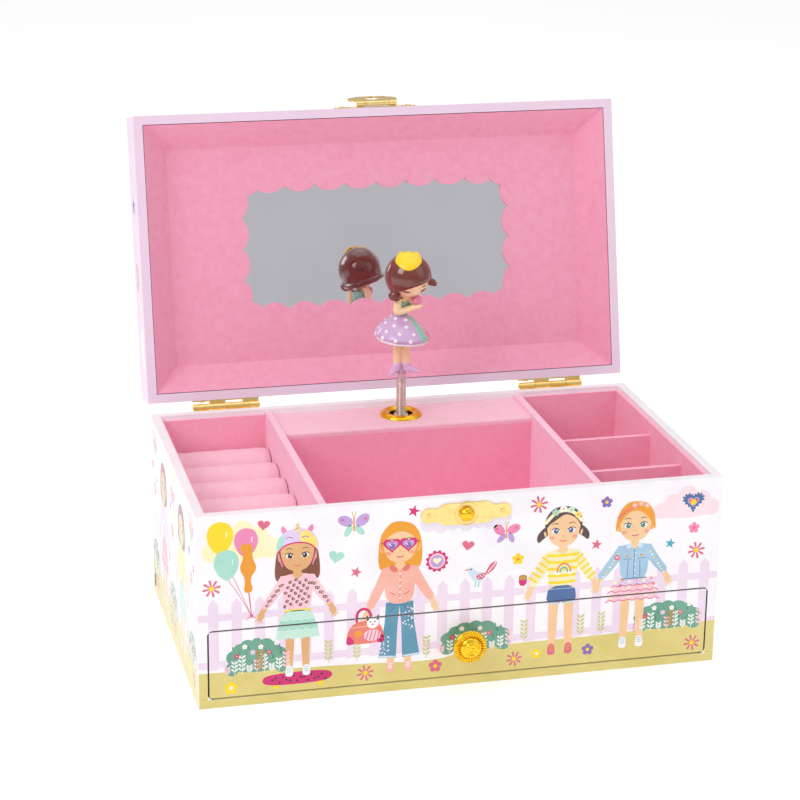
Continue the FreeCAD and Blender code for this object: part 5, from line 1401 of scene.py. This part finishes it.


# ---------------------------------------------------------------- soft pieces, a painted shade liner and the sill


def roll_points(centre_y, x0, x1, seed):
    """One soft roll: a loaf whose ends draw in, with faint folds in its cover."""
    reach, centre_z, base, rings, sides = 11.7, 76.0, 66.2, 41, 28
    verts = []
    for i in range(rings):
        t = i / (rings - 1)
        draw = 1 - 0.08 * math.exp(-((min(t, 1 - t) * (x1 - x0) / 2.2) ** 2))
        x = x0 + (x1 - x0) * t
        for j in range(sides):
            a = math.pi * (1.18 - 1.36 * j / (sides - 1))
            fold = 0.14 * math.sin(x * 0.9 + seed * 2.1 + 2.2 * math.sin(a * 2 + seed))
            size = (reach + fold + 0.10 * math.sin(x * 0.37 + seed)) * draw
            verts.append(Vector((x, centre_y + size * math.cos(a), max(base, centre_z + size * math.sin(a)))))
    return capped(verts, rings, sides)


def rounded_box(reach_x, reach_y, corner, count):
    """A rectangle's outline whose rounded corners are centred at these reaches."""
    return [(sx * reach_x + corner * math.cos(a), sy * reach_y + corner * math.sin(a))
            for quarter, (sx, sy) in enumerate(((1, 1), (-1, 1), (-1, -1), (1, -1)))
            for a in [math.pi / 2 * (quarter + k / (count - 1)) for k in range(count)]]


def pad_points(low, high, crown):
    """A thin pad with rounded corners and edges, a little proud in its middle."""
    count, radius, size, middle = 14, 1.6, high - low, (low + high) / 2
    edge = ((radius, 0), (0.3, 0.25), (0.0, 0.5), (0.3, 0.8), (radius, 1))
    levels = [(inset, low.z + share * size.z) for inset, share in edge]
    levels += [(radius + 0.04 * k * min(size.x, size.y), high.z + crown * (1 - (1 - k / 11) ** 2))
               for k in range(1, 11)]
    verts = []
    for inset, z in levels:
        half_x, half_y = size.x / 2 - inset, size.y / 2 - inset
        corner = max(0.4, min(3.0, half_x, half_y))
        verts += [Vector((middle.x + u, middle.y + v, z))
                  for u, v in rounded_box(half_x - corner, half_y - corner, corner, count)]
    middle.z = 0
    return close_rings(verts[::-1], len(levels), 4 * count, middle + Z * (high.z + crown), middle + Z * low.z)


def add_ring_rolls():
    """The ring tray's cushion: six padded rolls side by side on a padded base."""
    low, high = box_mm("ring_cushion")
    rolls = [roll_points(high.y - 24.6 * (n + 0.5), low.x + 0.3, high.x - 0.3, n) for n in range(6)]
    base = pad_points(low + (X + Y) * 0.2, Vector((high.x - 0.2, high.y - 0.2, 67.5)), 0.6)
    made = solid("ring_rolls", rolls + [base], FLOCK_PALE, "case", "pink_flock", 1.1, 6)
    swell(made, 0.3 * MM)
    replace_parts(made, "ring_cushion")


def swell(made, most):
    """Lets pressure fill the cover a little, as wadding does, and keeps every point near where it was."""
    start = [v.co.copy() for v in made.data.vertices]
    cloth = made.modifiers.new("Cloth", "CLOTH").settings
    cloth.use_pressure = True
    cloth.uniform_pressure_force = 3
    cloth.quality = 5
    cloth.effector_weights.gravity = 0
    scene = bpy.context.scene
    for number in range(1, 11):
        scene.frame_set(number)
    solved = made.evaluated_get(bpy.context.evaluated_depsgraph_get())
    ends = [v.co.copy() for v in solved.data.vertices]
    made.modifiers.clear()
    scene.frame_set(1)
    for vert, old, new in zip(made.data.vertices, start, ends):
        move = new - old
        if move.length > most:
            move *= most / move.length
        vert.co = old + move


def add_drawer_pad():
    """The drawer's flocked lining, a thin pad laid on its floor."""
    low, high = box_mm("drawer_lining_pad")
    made = solid("drawer_pad", [pad_points(low, high - Z * 0.3, 0.3)], FLOCK, "drawer", "pink_flock")
    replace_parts(made, "drawer_lining_pad")


def add_gap_shade_liner():
    """Painted shade: a thin dark liner just behind the face, standing for the shade in the gap round the
    drawer's opening.
    """
    _, low, wide, high = OPENING
    radius, proud = 3.0, 0.28
    verts = []
    for y, corner in ((-80.1, radius), (-80.1, radius - proud), (-76.0, radius - proud), (-76.0, radius)):
        ring = rounded_box(wide - radius, (high - low) / 2 - radius, corner, 12)
        verts += [Vector((u, y, (low + high) / 2 + v)) for u, v in ring]
    solid("gap_shade_liner", [(verts, quads(4, 48, True))], PAINTED_SHADE_LINER, "case", "greyboard")


def add_opening_sill():
    """The lower lip of the drawer's opening, where the printed paper is turned in over the cut edge, in an
    olive darker than the grass print: partly painted shade for the gap under the drawer.
    """
    profile = ((-80.22, 5.1), (-80.22, 5.38), (-80.1, 5.52), (-76.0, 5.52), (-76.0, 5.1))
    verts = [Vector((x, y, z)) for x in (-131.5, 131.5) for y, z in profile]
    solid("opening_sill", [capped(verts, 2, len(profile))], PAPER_OLIVE_SHADED, "case", "printed_paper")


# ---------------------------------------------------------------- stage


def add_floor():
    """A plain pale floor, large enough to fill the view."""
    bpy.ops.mesh.primitive_plane_add(size=30, location=(0, 10, 0))
    floor = bpy.context.object
    floor.name = "floor"
    made = Finish("floor_white", "FFFFFF", 0.6, Emission_Color=(1, 1, 1, 1), Emission_Strength=0.27)
    made.blotches(made.noise(1.5), "FDFDFD")
    floor.data.materials.append(made.material)


def add_world():
    """Soft light from all round, brighter overhead and grey towards the horizon in front."""
    world = bpy.data.worlds.new("studio")
    bpy.context.scene.world = world
    world.use_nodes = True
    nodes, link = world.node_tree.nodes, world.node_tree.links.new
    place, split, ramp = [nodes.new("ShaderNode" + kind) for kind in ("TexCoord", "SeparateXYZ", "ValToRGB")]
    link(place.outputs["Generated"], split.inputs["Vector"])
    link(split.outputs["Z"], ramp.inputs["Fac"])
    stops = ramp.color_ramp.elements
    stops[0].color = (0.66, 0.66, 0.69, 1)
    stops[1].position = 0.75
    stops[1].color = (1.0, 1.0, 1.0, 1)
    stops.new(0.28).color = (0.70, 0.70, 0.73, 1)
    link(ramp.outputs["Color"], nodes["Background"].inputs["Color"])
    put(nodes["Background"], Strength=0.74)


def add_lamp(name, place, size, power):
    """A soft square lamp that points at the box."""
    light = bpy.data.lights.new(name, "AREA")
    light.shape, light.size, light.energy = "SQUARE", size, power
    lamp = bpy.data.objects.new(name, light)
    bpy.context.collection.objects.link(lamp)
    lamp.location = place
    lamp.rotation_euler = (Z * 0.1 - Vector(place)).to_track_quat("-Z", "Y").to_euler()


CAMERA_TARGET = Vector((-0.0156, 0.0, 0.1325))
CAMERA_DISTANCE = 1.2413
CAMERA_TURN, CAMERA_RISE, CAMERA_ROLL = math.radians(-14.03), math.radians(18.65), math.radians(0.71)
CAMERA_LENS = 103.8


def add_camera():
    """The view from the front, a little to the left and above."""
    camera = bpy.data.objects.new("camera", bpy.data.cameras.new("camera"))
    bpy.context.collection.objects.link(camera)
    away = polar(math.cos(CAMERA_RISE), CAMERA_TURN - math.pi / 2, math.sin(CAMERA_RISE))
    aim = (-away).to_track_quat("-Z", "Y").to_matrix().to_4x4()
    roll = Matrix.Rotation(CAMERA_ROLL, 4, "Z")
    camera.matrix_world = Matrix.Translation(CAMERA_TARGET + away * CAMERA_DISTANCE) @ aim @ roll
    camera.data.lens = CAMERA_LENS
    camera.data.sensor_width = 36
    camera.data.clip_start = 0.05
    bpy.context.scene.camera = camera
    bpy.context.scene.view_settings.view_transform = "Standard"


def add_stage():
    add_floor()
    add_world()
    add_lamp("key", (-1.4, -0.8, 1.3), 0.9, 11)
    add_lamp("fill", (1.3, -0.9, 0.9), 1.2, 2.5)
    add_lamp("top", (0.1, 0.2, 1.7), 1.4, 5)
    add_camera()


dress_nodes()
all_pictures()
add_dancer()
add_spring()
add_knob()
add_corner_staple()
add_latch_relief()
add_ring_rolls()
add_drawer_pad()
add_gap_shade_liner()
add_opening_sill()
add_stage()
